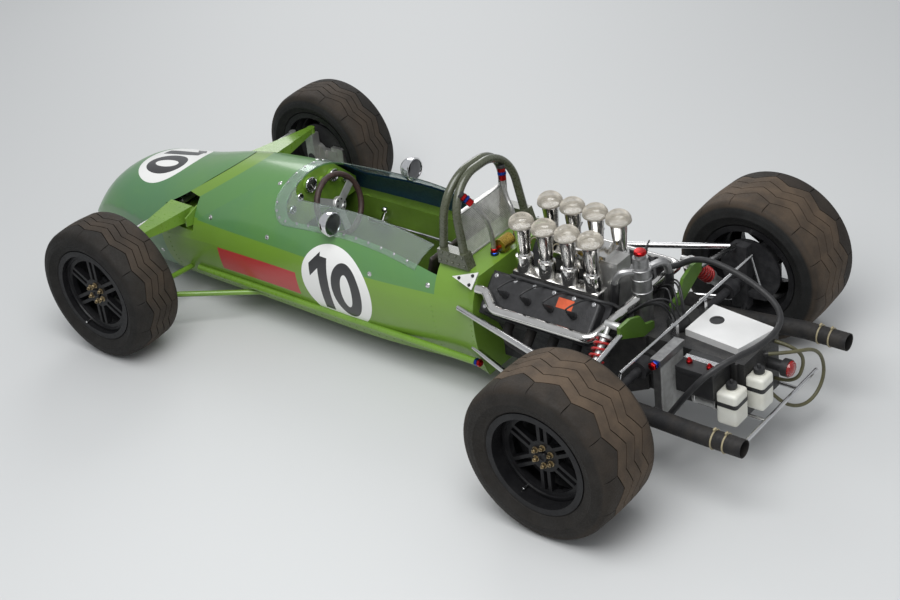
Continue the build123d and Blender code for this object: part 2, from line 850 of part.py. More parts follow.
knuckle_low_y = rear_track / 2 - 212.5
knuckle_high_y = knuckle_low_y + 44
with BuildPart() as rear_uprights:
    add(block((rear_axle_x - 36, knuckle_low_y, 195), (rear_axle_x + 36, knuckle_high_y, 478)))
    add(block((rear_axle_x - 112, knuckle_low_y + 8, 252), (rear_axle_x - 36, knuckle_high_y - 10, 276)))
    add(
        rod(
            (rear_axle_x, knuckle_low_y - 5, rear_radius),
            (rear_axle_x, knuckle_high_y + 5, rear_radius),
            25 + fit_gap,
        ),
        mode=Mode.SUBTRACT,
    )
    mirror(about=Plane.XZ)
save(rear_uprights, "rear_uprights")

# Rear links: start point, end point, radius
rear_link_runs = [
    ((rear_axle_x + 785, 282, 405), (rear_axle_x + 20, knuckle_low_y + 22, 462), 12.5),
    ((rear_axle_x + 740, 272, 228), (rear_axle_x + 20, knuckle_low_y + 22, 222), 11),
    ((rear_axle_x - 130, 120, 205), (rear_axle_x - 18, knuckle_low_y + 12, 206), 11),
    ((rear_axle_x + 25, 278, 508), (rear_axle_x + 16, knuckle_low_y + 17, 468), 11),
]
with BuildPart() as rear_links:
    for start, end, radius in rear_link_runs:
        add(rod(start, end, radius))
    add(body_clear, mode=Mode.SUBTRACT)
    add(rear_uprights.part, mode=Mode.SUBTRACT)
    add(rear_frame.part, mode=Mode.SUBTRACT)
    add(gearbox.part, mode=Mode.SUBTRACT)
    mirror(about=Plane.XZ)
save(rear_links, "rear_links")

damper_top = Vector(rear_axle_x + 80, 262, 532)
damper_foot = Vector(rear_axle_x + 80, knuckle_low_y + 17, 262)
damper_run = damper_foot - damper_top
spring_turns = 7
spring_radius = 33
spring_wire = 11
with BuildPart() as rear_dampers:
    add(rod(damper_top, damper_foot, 14))
    add(rod(damper_top + damper_run * 0.14, damper_top + damper_run * 0.6, 22))
    for turn in range(spring_turns + 1):
        turn_at = damper_top + damper_run * (0.16 + 0.42 * turn / spring_turns)
        half_wire = damper_run.normalized() * spring_wire / 2
        add(rod(turn_at - half_wire, turn_at + half_wire, spring_radius))
    add(rod(damper_top + damper_run * 0.6, damper_top + damper_run * 0.85, 22))
    add(rod((frame_x + 14, 262, 532), (rear_axle_x + 96, 262, 532), 15))
    add(rod((rear_axle_x + 36, knuckle_low_y + 17, 262), (rear_axle_x + 96, knuckle_low_y + 17, 262), 14))
    mirror(about=Plane.XZ)
save(rear_dampers, "rear_dampers")

bar_y = knuckle_low_y - 58
with BuildPart() as anti_roll_bar:
    add(rod((rear_axle_x - 95, -bar_y, 492), (rear_axle_x - 95, bar_y, 492), 6))
    for side in (1, -1):
        add(rod((rear_axle_x - 95, side * (bar_y - 5), 492), (rear_axle_x - 95, side * (knuckle_low_y + 21), 276), 5))
        with Locations((rear_axle_x - 95, side * 100, (gearbox_top_z + 492) / 2)):
            Box(26, 18, 492 - gearbox_top_z)
    add(rear_uprights.part, mode=Mode.SUBTRACT)
save(anti_roll_bar, "anti_roll_bar")

# Front suspension and steering
with BuildPart() as front_rocker_arms:
    for y, half_x, low, high in ((252, 66, 404, 470), (kingpin_y - 12, 17, knuckle_top_z + 3, 452)):
        with BuildSketch(Plane(origin=(front_axle_x, y, 0), x_dir=(1, 0, 0), z_dir=(0, -1, 0))):
            with Locations((0, (low + high) / 2)):
                Rectangle(2 * half_x, high - low)
    loft(ruled=True)
    add(rod((front_axle_x, kingpin_y, knuckle_top_z + 0.5), (front_axle_x, kingpin_y, 452), 19))
    add(rod((front_axle_x - 72, 250, 437), (front_axle_x + 72, 250, 437), 24))
    add(rod((tunnel_rear_x, 250, 437), (front_axle_x - 72, 250, 437), 11))
    with BuildSketch(Plane(origin=(tunnel_rear_x + 2, 0, 0), x_dir=(0, 1, 0), z_dir=(1, 0, 0))):
        with BuildLine():
            Polyline((240, 392), (322, 405), (322, 446), (240, 474), close=True)
        make_face()
    extrude(amount=8)
    mirror(about=Plane.XZ)
save(front_rocker_arms, "front_rocker_arms")

with BuildPart() as front_wishbones:
    add(rod((front_axle_x, kingpin_y, 168), (front_axle_x, kingpin_y, knuckle_foot_z - 0.5), 19))
    add(rod((front_axle_x, kingpin_y, 180), (front_axle_x, 200, 150), 12))
    add(rod((front_axle_x, kingpin_y, 180), (front_axle_x - 440, 235, 128), 12))
    add(body_clear, mode=Mode.SUBTRACT)
    mirror(about=Plane.XZ)
save(front_wishbones, "front_wishbones")

with BuildPart() as side_pipes:
    add(
        pipe(
            [(front_axle_x - 70, 284, 175), (front_axle_x - 650, 287, 175), (tub_rear_x + 25, 289, 175)],
            15,
            600,
        )
    )
    add(body_clear, mode=Mode.SUBTRACT)
    mirror(about=Plane.XZ)
save(side_pipes, "side_pipes")

rack_x = front_axle_x + steer_arm_reach
rack_z = steer_arm_top_z + 9.5
with BuildPart() as steering_rack:
    add(rod((rack_x, -steer_arm_y, rack_z), (rack_x, steer_arm_y, rack_z), 9))
    add(rod((rack_x, -165, rack_z), (rack_x, 165, rack_z), 16))
    for side in (1, -1):
        eye = (rack_x, side * steer_arm_y)
        add(rod((*eye, steer_arm_top_z + 0.5), (*eye, steer_arm_top_z + 18.5), 16))
save(steering_rack, "steering_rack")

for name, axle_x, side, track, radius, tyre_width, rim_width, spoke_inset in wheels:
    centre = Vector(axle_x, side * track / 2, radius)
    outward = Vector(0, side, 0)
    cut_plane = Plane(origin=centre, x_dir=outward, z_dir=(side, 0, 0))
    axle = Axis(centre, outward)
    half = tyre_width / 2
    half_rim = rim_width / 2
    spoke_face = half - spoke_inset
    bead = half_rim - 7 - fit_gap
    with BuildPart() as tyre:
        with BuildSketch(cut_plane):
            with BuildLine():
                Polyline(
                    (-bead, flange_radius),
                    (-bead, bead_radius + fit_gap),
                    (bead, bead_radius + fit_gap),
                    (bead, flange_radius),
                )
                ThreePointArc(
                    (bead, flange_radius),
                    (half, (flange_radius + radius) / 2 - 4),
                    (half - 9, radius - 34),
                )
                ThreePointArc((half - 9, radius - 34), (half - 16, radius - 15), (half - 36, radius - 6))
                ThreePointArc((half - 36, radius - 6), (0, radius), (36 - half, radius - 6))
                ThreePointArc((36 - half, radius - 6), (16 - half, radius - 15), (9 - half, radius - 34))
                ThreePointArc(
                    (9 - half, radius - 34),
                    (-half, (flange_radius + radius) / 2 - 4),
                    (-bead, flange_radius),
                )
            make_face()
        revolve(axis=axle)
    save(tyre, f"tyre_{name}")

    with BuildPart() as rim:
        with BuildSketch(cut_plane):
            with BuildLine():
                Polyline(
                    (-half_rim, flange_radius),
                    (-half_rim + 7, flange_radius),
                    (-half_rim + 7, bead_radius),
                    (-half_rim + 50, bead_radius),
                    (-half_rim + 68, well_radius),
                    (-20, well_radius),
                    (0, bead_radius),
                    (half_rim - 7, bead_radius),
                    (half_rim - 7, flange_radius),
                    (half_rim, flange_radius),
                    (half_rim, bead_radius - barrel_wall),
                    (3, bead_radius - barrel_wall),
                    (-17, well_radius - barrel_wall),
                    (-half_rim + 71, well_radius - barrel_wall),
                    (-half_rim + 53, bead_radius - barrel_wall),
                    (-half_rim, bead_radius - barrel_wall),
                    close=True,
                )
            make_face()
        revolve(axis=axle)
        spoke_plane = Plane(origin=centre + outward * spoke_face, x_dir=(0, 0, 1), z_dir=outward)
        with BuildSketch(spoke_plane):
            Circle(bead_radius - barrel_wall + 2)
            Circle(spoke_ring, mode=Mode.SUBTRACT)
            with PolarLocations(0, 6):
                with Locations((105, spoke_offset), (105, -spoke_offset)):
                    Rectangle(106, 14)
            Circle(64)
        extrude(amount=-24)
    save(rim, f"rim_{name}")

    hub_face = spoke_face - 24
    with BuildPart() as hub:
        add(rod(centre + outward * (hub_face - 14), centre + outward * hub_face, 64))
        if axle_x == front_axle_x:
            inner = kingpin_y - 24 - track / 2
            add(rod(centre + outward * inner, centre + outward * hub_face, axle_radius))
            disc_inner = -70
        else:
            inner = shaft_end_y + 1 - track / 2
            add(rod(centre + outward * (knuckle_low_y - 10 - track / 2), centre + outward * hub_face, 25))
            add(rod(centre + outward * inner, centre + outward * (knuckle_low_y - 10 - track / 2), 17))
            add(rod(centre + outward * inner, centre + outward * (inner + 60), 36))
            add(rod(centre + outward * (knuckle_low_y - 98 - track / 2), centre + outward * (knuckle_low_y - 48 - track / 2), 34))
            disc_inner = -124
        add(rod(centre + outward * disc_inner, centre + outward * (disc_inner + disc_thickness), disc_radius))
        add(rod(centre + outward * disc_inner, centre + outward * (hub_face - 14), 52))
    save(hub, f"hub_{name}")

    if axle_x == front_axle_x:
        disc_y = side * track / 2 + side * disc_inner
        with BuildPart() as knuckle:
            post_low = kingpin_y - 24
            with Locations((axle_x, side * kingpin_y, (knuckle_foot_z + knuckle_top_z) / 2)):
                Box(48, 44, knuckle_top_z - knuckle_foot_z)
            add(rod((axle_x, side * kingpin_y, steer_arm_top_z - 14), (axle_x, side * kingpin_y, steer_arm_top_z), 22))
            arm_eye = Vector(rack_x, side * steer_arm_y, 0)
            with BuildSketch(Plane.XY.offset(steer_arm_top_z - 13)):
                with BuildLine():
                    Line((axle_x, side * (kingpin_y - 10)), (arm_eye.X, arm_eye.Y))
                trace(line_width=26)
                with Locations((arm_eye.X, arm_eye.Y)):
                    Circle(16)
            extrude(amount=13)
            caliper_y = disc_y + side * disc_thickness / 2
            with Locations((axle_x - 117, caliper_y, radius)):
                Box(70, 58, 88)
            add(
                rod(
                    (axle_x, caliper_y - 10, radius),
                    (axle_x, caliper_y + 10, radius),
                    disc_radius + 4,
                ),
                mode=Mode.SUBTRACT,
            )
            with Locations((axle_x - 66, caliper_y - side * 24, radius)):
                Box(100, 20, 56)
            with Locations((axle_x, side * (kingpin_y + 22), radius)):
                Cylinder(60, 22, rotation=(90, 0, 0))
            add(
                rod(
                    (axle_x, side * (kingpin_y - 60), radius),
                    (axle_x, side * (kingpin_y + 60), radius),
                    axle_radius + fit_gap,
                ),
                mode=Mode.SUBTRACT,
            )
        save(knuckle, f"knuckle_{name}")


def cord(points, radius):
    """A free hose of straight runs and tangent arcs, with its bend radii."""
    spots = [Vector(*point) for point in points]
    bends = []
    for before, corner, after in zip(spots, spots[1:], spots[2:]):
        turn = (corner - before).get_angle(after - corner)
        shorter = min((corner - before).length, (after - corner).length)
        bends.append(0.45 * shorter * cos(radians(turn / 2)) / sin(radians(turn / 2)))
    print("bend radii", [round(bend, 1) for bend in bends])
    return pipe(points, radius, bends)


with BuildPart() as breather_hose:
    add(cord(breather_route, 12))
save(breather_hose, "breather_hose")

with BuildPart() as vent_hose:
    add(cord(vent_route, 7))
save(vent_hose, "vent_hose")

with BuildPart() as drain_hose:
    add(cord(drain_route, 7))
save(drain_hose, "drain_hose")

with BuildPart() as fuel_hose_left:
    add(cord(fuel_left_route, 9.5))
save(fuel_hose_left, "fuel_hose_left")

with BuildPart() as fuel_hose_right:
    add(cord(fuel_right_route, 9.5))
save(fuel_hose_right, "fuel_hose_right")
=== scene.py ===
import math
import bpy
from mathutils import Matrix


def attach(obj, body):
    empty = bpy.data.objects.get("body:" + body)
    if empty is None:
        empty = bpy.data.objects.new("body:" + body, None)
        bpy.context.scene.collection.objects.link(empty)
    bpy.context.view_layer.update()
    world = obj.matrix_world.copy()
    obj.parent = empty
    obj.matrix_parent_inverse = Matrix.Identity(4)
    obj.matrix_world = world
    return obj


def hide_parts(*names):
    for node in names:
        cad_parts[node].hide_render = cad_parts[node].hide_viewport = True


bl_info = {
    "name": "Open-wheel racing car dress",
    "version": (1, 0, 0),
    "blender": (4, 5, 0),
    "location": "View3D > Sidebar > Racing car",
    "description": "Finishes, markings and small pieces for an open-wheel racing car",
    "category": "Object",
}

from collections import namedtuple

import bpy
from mathutils import Matrix, Vector

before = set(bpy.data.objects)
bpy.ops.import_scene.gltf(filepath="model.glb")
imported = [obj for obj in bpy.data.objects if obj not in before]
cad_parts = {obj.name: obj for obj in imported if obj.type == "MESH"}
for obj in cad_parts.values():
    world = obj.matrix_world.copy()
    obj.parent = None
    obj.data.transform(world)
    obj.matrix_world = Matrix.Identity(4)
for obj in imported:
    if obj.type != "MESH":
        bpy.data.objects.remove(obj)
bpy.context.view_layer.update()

FRONT_AXLE = 1.025
REAR_AXLE = -1.325
TUB_REAR = -0.625

Wheel = namedtuple("Wheel", "side axle_x middle radius half half_rim face reach dust")

# Wheels: side, axle x, middle y, radius, half width, half rim width, spoke face, zigzag reach, dust
WHEELS = {
    "front_left": Wheel(1, FRONT_AXLE, 0.724, 0.305, 0.126, 0.1065, 0.080, 0.013, 0.42),
    "front_right": Wheel(-1, FRONT_AXLE, -0.724, 0.305, 0.126, 0.1065, 0.080, 0.013, 0.42),
    "rear_left": Wheel(1, REAR_AXLE, 0.733, 0.322, 0.165, 0.147, 0.087, 0.018, 0.90),
    "rear_right": Wheel(-1, REAR_AXLE, -0.733, 0.322, 0.165, 0.147, 0.087, 0.018, 0.90),
}

# Free hoses: route points, radius, length, finish
HOSES = {
    "breather_hose": (
        [(-1.155, -0.183, 0.527), (-1.233, -0.183, 0.527), (-1.347, -0.203, 0.610), (-1.557, -0.196, 0.575),
         (-1.740, -0.150, 0.508), (-1.777, 0.010, 0.482), (-1.690, 0.255, 0.485), (-1.600, 0.315, 0.375),
         (-1.512, 0.304, 0.240)],
        0.012, 1.318, "hose_black"),
    "vent_hose": (
        [(-1.725, -0.100, 0.400), (-1.807, -0.100, 0.400), (-1.824, -0.148, 0.318), (-1.812, -0.095, 0.240),
         (-1.725, -0.095, 0.240)],
        0.007, 0.312, "hose_olive"),
    "drain_hose": (
        [(-1.740, -0.026, 0.3915), (-1.815, -0.056, 0.404), (-1.849, -0.208, 0.350), (-1.845, -0.265, 0.190),
         (-1.830, -0.170, 0.110), (-1.785, -0.060, 0.150), (-1.737, -0.044, 0.210)],
        0.007, 0.683, "hose_olive"),
    "fuel_hose_left": (
        [(-0.530, 0.142, 0.812), (-0.576, 0.121, 0.764), (-0.580, 0.076, 0.660), (-0.580, 0.076, 0.550)],
        0.0095, 0.286, "hose_braid"),
    "fuel_hose_right": (
        [(-0.503, -0.114, 0.795), (-0.511, -0.106, 0.720), (-0.575, -0.081, 0.650), (-0.575, -0.081, 0.550)],
        0.0095, 0.263, "hose_braid"),
}

# Bottles: low corner, high corner
BOTTLES = [
    ((-1.757, 0.150, 0.225), (-1.672, 0.240, 0.362)),
    ((-1.801, 0.042, 0.240), (-1.725, 0.124, 0.378)),
]

BORES = [REAR_AXLE + 0.262, REAR_AXLE + 0.368, REAR_AXLE + 0.474, REAR_AXLE + 0.580]
TRUMPET_Y = 0.095
TRUMPET_FOOT = 0.602
TRUMPET_MOUTH = 0.738
CRANK_Z = 0.262
SLANT = math.sqrt(0.5)
COVER_TOP = 0.332
DISTRIBUTOR = (-1.385, 0.020, 0.422)
MOUNT_BOLTS = [(-0.5446, 0.2624, 0.5334), (-0.5976, 0.2702, 0.5199), (-0.6038, 0.2494, 0.5516)]

# Gauges: across y, height z, radius
DASH_FACE = 0.415
GAUGES = [
    (0.045, 0.606, 0.033),
    (-0.034, 0.588, 0.017),
    (0.119, 0.582, 0.017),
    (0.172, 0.546, 0.018),
    (-0.098, 0.584, 0.028),
    (-0.168, 0.540, 0.018),
]

# Body joints: knee of the nose joint (x, z), its lean, lime strip behind it, cowl seam height
JOINT_KNEE = (1.150, 0.425)
JOINT_SLOPE = 0.455 / 0.275
LIME_STRIP = 0.080
COWL_SEAM = 0.432

# Fuller nose: where it starts, CAD tip, new tip
NOSE_FROM, NOSE_CAD, NOSE_TIP = 0.925, 1.875, 1.755
# Forward push, rise, place of the rise, flatter crown
NOSE_PUSH, NOSE_RISE, NOSE_LATE, NOSE_FLAT = 0.685, 0.259, 1.767, 4.16
# Spread of the sides, height below which nothing rises
NOSE_SPREAD, NOSE_BELLY = 0.011, 0.12
# Number disc on the nose: middle x, radius
NOSE_DISC = (1.312, 0.176)

# Flank markings: disc (x, z, half width, half height), panel (x from, x to, z from, z to)
FLANK = 0.20
SIDE_DISC = (0.095, 0.326, 0.190, 0.188)
SIDE_PANEL = (0.325, 0.785, 0.222, 0.336)

TAIL_PIPE_Y, TAIL_PIPE_Z = 0.387, 0.276
HEADER_X, HEADER_Y = REAR_AXLE + 0.092, 0.022
PAD_SWELL = 0.007

HAND_WHEEL = Vector((FRONT_AXLE - 0.716, 0, 0.517))
COLUMN = Vector((-math.cos(math.radians(16)), 0, math.sin(math.radians(16))))


def colour(label, note, value):
    """A colour that a user may change."""
    return bpy.props.FloatVectorProperty(
        name=label, description=note, subtype="COLOR", size=3, min=0, max=1, default=value)


def length(label, note, value):
    """A length in metres that a user may change."""
    return bpy.props.FloatProperty(
        name=label, description=note, unit="LENGTH", default=value, min=0, precision=4)


class RacerStage(bpy.types.PropertyGroup):
    """Camera, floor and lamps of the studio"""

    azimuth: bpy.props.FloatProperty(
        name="Azimuth", description="Camera direction round the car, degrees", default=221.8031)
    elevation: bpy.props.FloatProperty(
        name="Elevation", description="Camera height above the horizon, degrees", default=31.258)
    roll: bpy.props.FloatProperty(
        name="Roll", description="Camera tilt about its own line of sight, degrees", default=-7.2362)
    place: bpy.props.FloatVectorProperty(
        name="Camera place", description="Where the camera stands", subtype="TRANSLATION", unit="LENGTH",
        size=3,
        default=(-4.565, 4.828, 4.131))
    lens: bpy.props.FloatProperty(
        name="Lens", description="Focal length on a 36 mm sensor", unit="CAMERA", default=72.764)
    floor: colour("Floor", "Colour of the studio floor", (0.57, 0.58, 0.58))


class RacerPaint(bpy.types.PropertyGroup):
    """Colours of the painted and dyed pieces"""

    tub: colour("Tub", "Bright green of the tub", (0.155, 0.290, 0.031))
    cowl: colour("Cowl", "Duller green of the nose and cowl", (0.092, 0.230, 0.066))
    shade: colour("Cowl shade", "Bluish patches in the duller green", (0.080, 0.208, 0.086))
    roundel: colour("Roundel", "White of the number discs", (0.82, 0.82, 0.80))
    number: colour("Number", "Black of the plain numbers", (0.022, 0.022, 0.024))
    panel: colour("Panel", "Red of the bare side panel", (0.42, 0.03, 0.03))
    rubber: colour("Rubber", "Tyre sidewall", (0.0100, 0.0102, 0.0100))
    dust: colour("Dust", "Dusty tread", (0.104, 0.074, 0.050))


class RacerTread(bpy.types.PropertyGroup):
    """Cut of the tyre tread"""

    kinks: bpy.props.IntProperty(
        name="Kinks", description="Outward kinks in each zigzag groove", default=13, min=6, max=40)
    width: length("Groove width", "Width of a zigzag groove", 0.0042)
    depth: length("Groove depth", "Depth of a zigzag groove", 0.0060)


class RacerTrim(bpy.types.PropertyGroup):
    """Sizes of the small pieces"""

    rivet: length("Rivet radius", "Radius of a screen rivet", 0.0042)
    bolt: length("Bolt radius", "Radius of a cover bolt", 0.0062)
    gauze: length("Gauze wire", "Thickness of the trumpet gauze wire", 0.0011)
    lattice: length("Guard strip", "Thickness of the guard between its holes", 0.0046)
    nut: length("Wheel nut radius", "Radius of a wheel nut", 0.0095)


def quiet():
    """Leave edit mode and select nothing."""
    if bpy.context.object and bpy.context.object.mode != "OBJECT":
        bpy.ops.object.mode_set(mode="OBJECT")
    bpy.ops.object.select_all(action="DESELECT")


def only(piece):
    """Select one piece and make it active."""
    quiet()
    piece.select_set(True)
    bpy.context.view_layer.objects.active = piece


def turned(profile, sides=20):
    """A turned solid drawn up from a circle through (radius, height) steps."""
    quiet()
    low_radius, low = profile[0]
    bpy.ops.mesh.primitive_circle_add(
        vertices=sides, radius=low_radius, fill_type="NGON", location=(0, 0, low))
    bpy.ops.object.transform_apply(location=True)
    bpy.ops.object.mode_set(mode="EDIT")
    bpy.ops.mesh.select_all(action="SELECT")
    for (radius, height), (next_radius, next_height) in zip(profile, profile[1:]):
        grow = next_radius / radius
        bpy.ops.mesh.extrude_region_move(TRANSFORM_OT_translate={"value": (0, 0, next_height - height)})
        bpy.ops.transform.resize(value=(grow, grow, 1), center_override=(0, 0, next_height))
    bpy.ops.mesh.select_all(action="SELECT")
    bpy.ops.mesh.normals_make_consistent(inside=False)
    piece = bpy.context.object
    quiet()
    return piece


def faced_out(piece, sew=0.0, holes=0):
    """Sew close corners, fill small holes and turn every face outward."""
    only(piece)
    bpy.ops.object.mode_set(mode="EDIT")
    bpy.ops.mesh.select_all(action="SELECT")
    if sew:
        bpy.ops.mesh.remove_doubles(threshold=sew)
    if holes:
        bpy.ops.mesh.fill_holes(sides=holes)
    bpy.ops.mesh.normals_make_consistent(inside=False)
    quiet()
    return piece


def ringed(section, sides=48):
    """A ring spun round +Z from a closed section of (radius, height) corners."""
    quiet()
    bpy.ops.mesh.primitive_circle_add(vertices=len(section), radius=1)
    piece = bpy.context.object
    for vertex, (radius, height) in zip(piece.data.vertices, section):
        vertex.co = (radius, 0, height)
    applied(
        piece, "SCREW", axis="Z", steps=sides, render_steps=sides, use_merge_vertices=True,
        merge_threshold=0.00001)
    return faced_out(piece)


def bevelled_box(low, high, bevel, segments=2):
    """A box between two corners with rounded edges."""
    quiet()
    middle = [(a + b) / 2 for a, b in zip(low, high)]
    bpy.ops.mesh.primitive_cube_add(size=1, location=middle)
    piece = bpy.context.object
    piece.scale = [b - a for a, b in zip(low, high)]
    bpy.ops.object.transform_apply(location=True, scale=True)
    bpy.ops.object.mode_set(mode="EDIT")
    bpy.ops.mesh.select_all(action="SELECT")
    bpy.ops.mesh.bevel(offset=bevel, segments=segments, affect="EDGES")
    quiet()
    return piece


def round_line(name, points, radius, sides):
    """A round curve along the smooth spline of the points."""
    line = bpy.data.curves.new(name, "CURVE")
    line.dimensions = "3D"
    line.bevel_depth = radius
    line.bevel_resolution = sides
    line.use_fill_caps = True
    run = line.splines.new("NURBS")
    run.points.add(len(points) - 1)
    for spot, point in zip(run.points, points):
        spot.co = (*point, 1)
    run.order_u = 3
    run.use_endpoint_u = True
    piece = bpy.data.objects.new(name, line)
    bpy.context.collection.objects.link(piece)
    return piece


def bent_tube(points, radius, sides=3):
    """A round tube as a mesh, along the smooth spline of the points."""
    only(round_line("bent_tube", points, radius, sides))
    bpy.ops.object.convert(target="MESH")
    piece = bpy.context.object
    quiet()
    return piece


def place(piece, spot, along=(0, 0, 1), roll=0.0):
    """Put a piece drawn up +Z at a spot, pointing along a direction."""
    turn = Vector((0, 0, 1)).rotation_difference(Vector(along)).to_matrix().to_4x4()
    piece.data.transform(Matrix.Translation(Vector(spot)) @ turn @ Matrix.Rotation(roll, 4, "Z"))
    return piece


def joined(pieces):
    """Several pieces as one mesh."""
    quiet()
    for piece in pieces:
        piece.select_set(True)
    bpy.context.view_layer.objects.active = pieces[0]
    if len(pieces) > 1:
        bpy.ops.object.join()
    quiet()
    return pieces[0]


def copies(pattern, spots):
    """One modelled piece copied to (spot, direction) places and joined."""
    pieces = []
    for spot, along in spots:
        piece = pattern.copy()
        piece.data = pattern.data.copy()
        bpy.context.collection.objects.link(piece)
        pieces.append(place(piece, spot, along))
    bpy.data.objects.remove(pattern)
    return joined(pieces)


def dressed(piece, name, body, finish, smooth=35):
    """Name a piece, give it its finish and let it ride on a body."""
    only(piece)
    bpy.ops.object.shade_smooth_by_angle(angle=math.radians(smooth))
    piece.name = name
    piece.data.name = name
    piece.data.materials.clear()
    for each in (finish,) if isinstance(finish, str) else finish:
        piece.data.materials.append(made(each))
    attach(piece, body)
    quiet()
    return piece


def applied(piece, kind, **settings):
    """Add a modifier, set it and apply it."""
    only(piece)
    modifier = piece.modifiers.new(kind.lower(), kind)
    for key, value in settings.items():
        setattr(modifier, key, value)
    bpy.ops.object.modifier_apply(modifier=modifier.name)
    quiet()
    return piece


def calc(tree, operation, *values):
    """A math node on numbers and sockets."""
    node = tree.nodes.new("ShaderNodeMath")
    node.operation = operation
    for socket, value in zip(node.inputs, values):
        if isinstance(value, (int, float)):
            socket.default_value = value
        else:
            tree.links.new(value, socket)
    return node.outputs[0]


def mixed(tree, share, low, high):
    """A colour between two by a share."""
    node = tree.nodes.new("ShaderNodeMix")
    node.data_type = "RGBA"
    tree.links.new(share, node.inputs[0])
    for socket, value in ((node.inputs[6], low), (node.inputs[7], high)):
        if isinstance(value, (tuple, list)) or hasattr(value, "r"):
            socket.default_value = (*value, 1)
        else:
            tree.links.new(value, socket)
    return node.outputs[2]


def ranged(tree, value, low, high, start=0.35, end=0.65):
    """A value carried from one range to another."""
    node = tree.nodes.new("ShaderNodeMapRange")
    tree.links.new(value, node.inputs["Value"])
    node.inputs["From Min"].default_value = start
    node.inputs["From Max"].default_value = end
    node.inputs["To Min"].default_value = low
    node.inputs["To Max"].default_value = high
    return node.outputs[0]


def spots_of(tree, stretch=(1, 1, 1)):
    """Object coordinates, stretched."""
    node = tree.nodes.new("ShaderNodeTexCoord")
    mapping = tree.nodes.new("ShaderNodeMapping")
    mapping.inputs["Scale"].default_value = stretch
    tree.links.new(node.outputs["Object"], mapping.inputs["Vector"])
    return mapping.outputs[0]


def grain(tree, scale, detail=4.0, stretch=(1, 1, 1)):
    """Soft noise on the piece's own coordinates."""
    node = tree.nodes.new("ShaderNodeTexNoise")
    node.inputs["Scale"].default_value = scale
    node.inputs["Detail"].default_value = detail
    tree.links.new(spots_of(tree, stretch), node.inputs["Vector"])
    return node.outputs[0]


def raised(tree, shader, height, strength, depth=0.002):
    """Relief on a shader."""
    node = tree.nodes.new("ShaderNodeBump")
    node.inputs["Strength"].default_value = strength
    node.inputs["Distance"].default_value = depth
    tree.links.new(height, node.inputs["Height"])
    tree.links.new(node.outputs[0], shader.inputs["Normal"])


def blank(name):
    """A new material, kept under its own name."""
    material = bpy.data.materials.new("racer_" + name)
    material.use_nodes = True
    return material.node_tree, material.node_tree.nodes["Principled BSDF"]


def made(name):
    """A material made earlier."""
    return bpy.data.materials["racer_" + name]


def finish(name, tone, shade, scale, metal, rough, relief, coat=0.0, detail=4.0, stretch=(1, 1, 1)):
    """A finish with mottled colour, uneven gloss and fine relief."""
    tree, shader = blank(name)
    shader.inputs["Metallic"].default_value = metal
    shader.inputs["Coat Weight"].default_value = coat
    shader.inputs["Coat Roughness"].default_value = 0.12
    patches = grain(tree, scale, detail, stretch)
    tree.links.new(mixed(tree, ranged(tree, patches, 0, 1), tone, shade), shader.inputs["Base Color"])
    fine = grain(tree, scale * 7, 3.0, stretch)
    tree.links.new(ranged(tree, fine, rough[0], rough[1]), shader.inputs["Roughness"])
    if relief:
        raised(tree, shader, fine, relief)
    return tree, shader


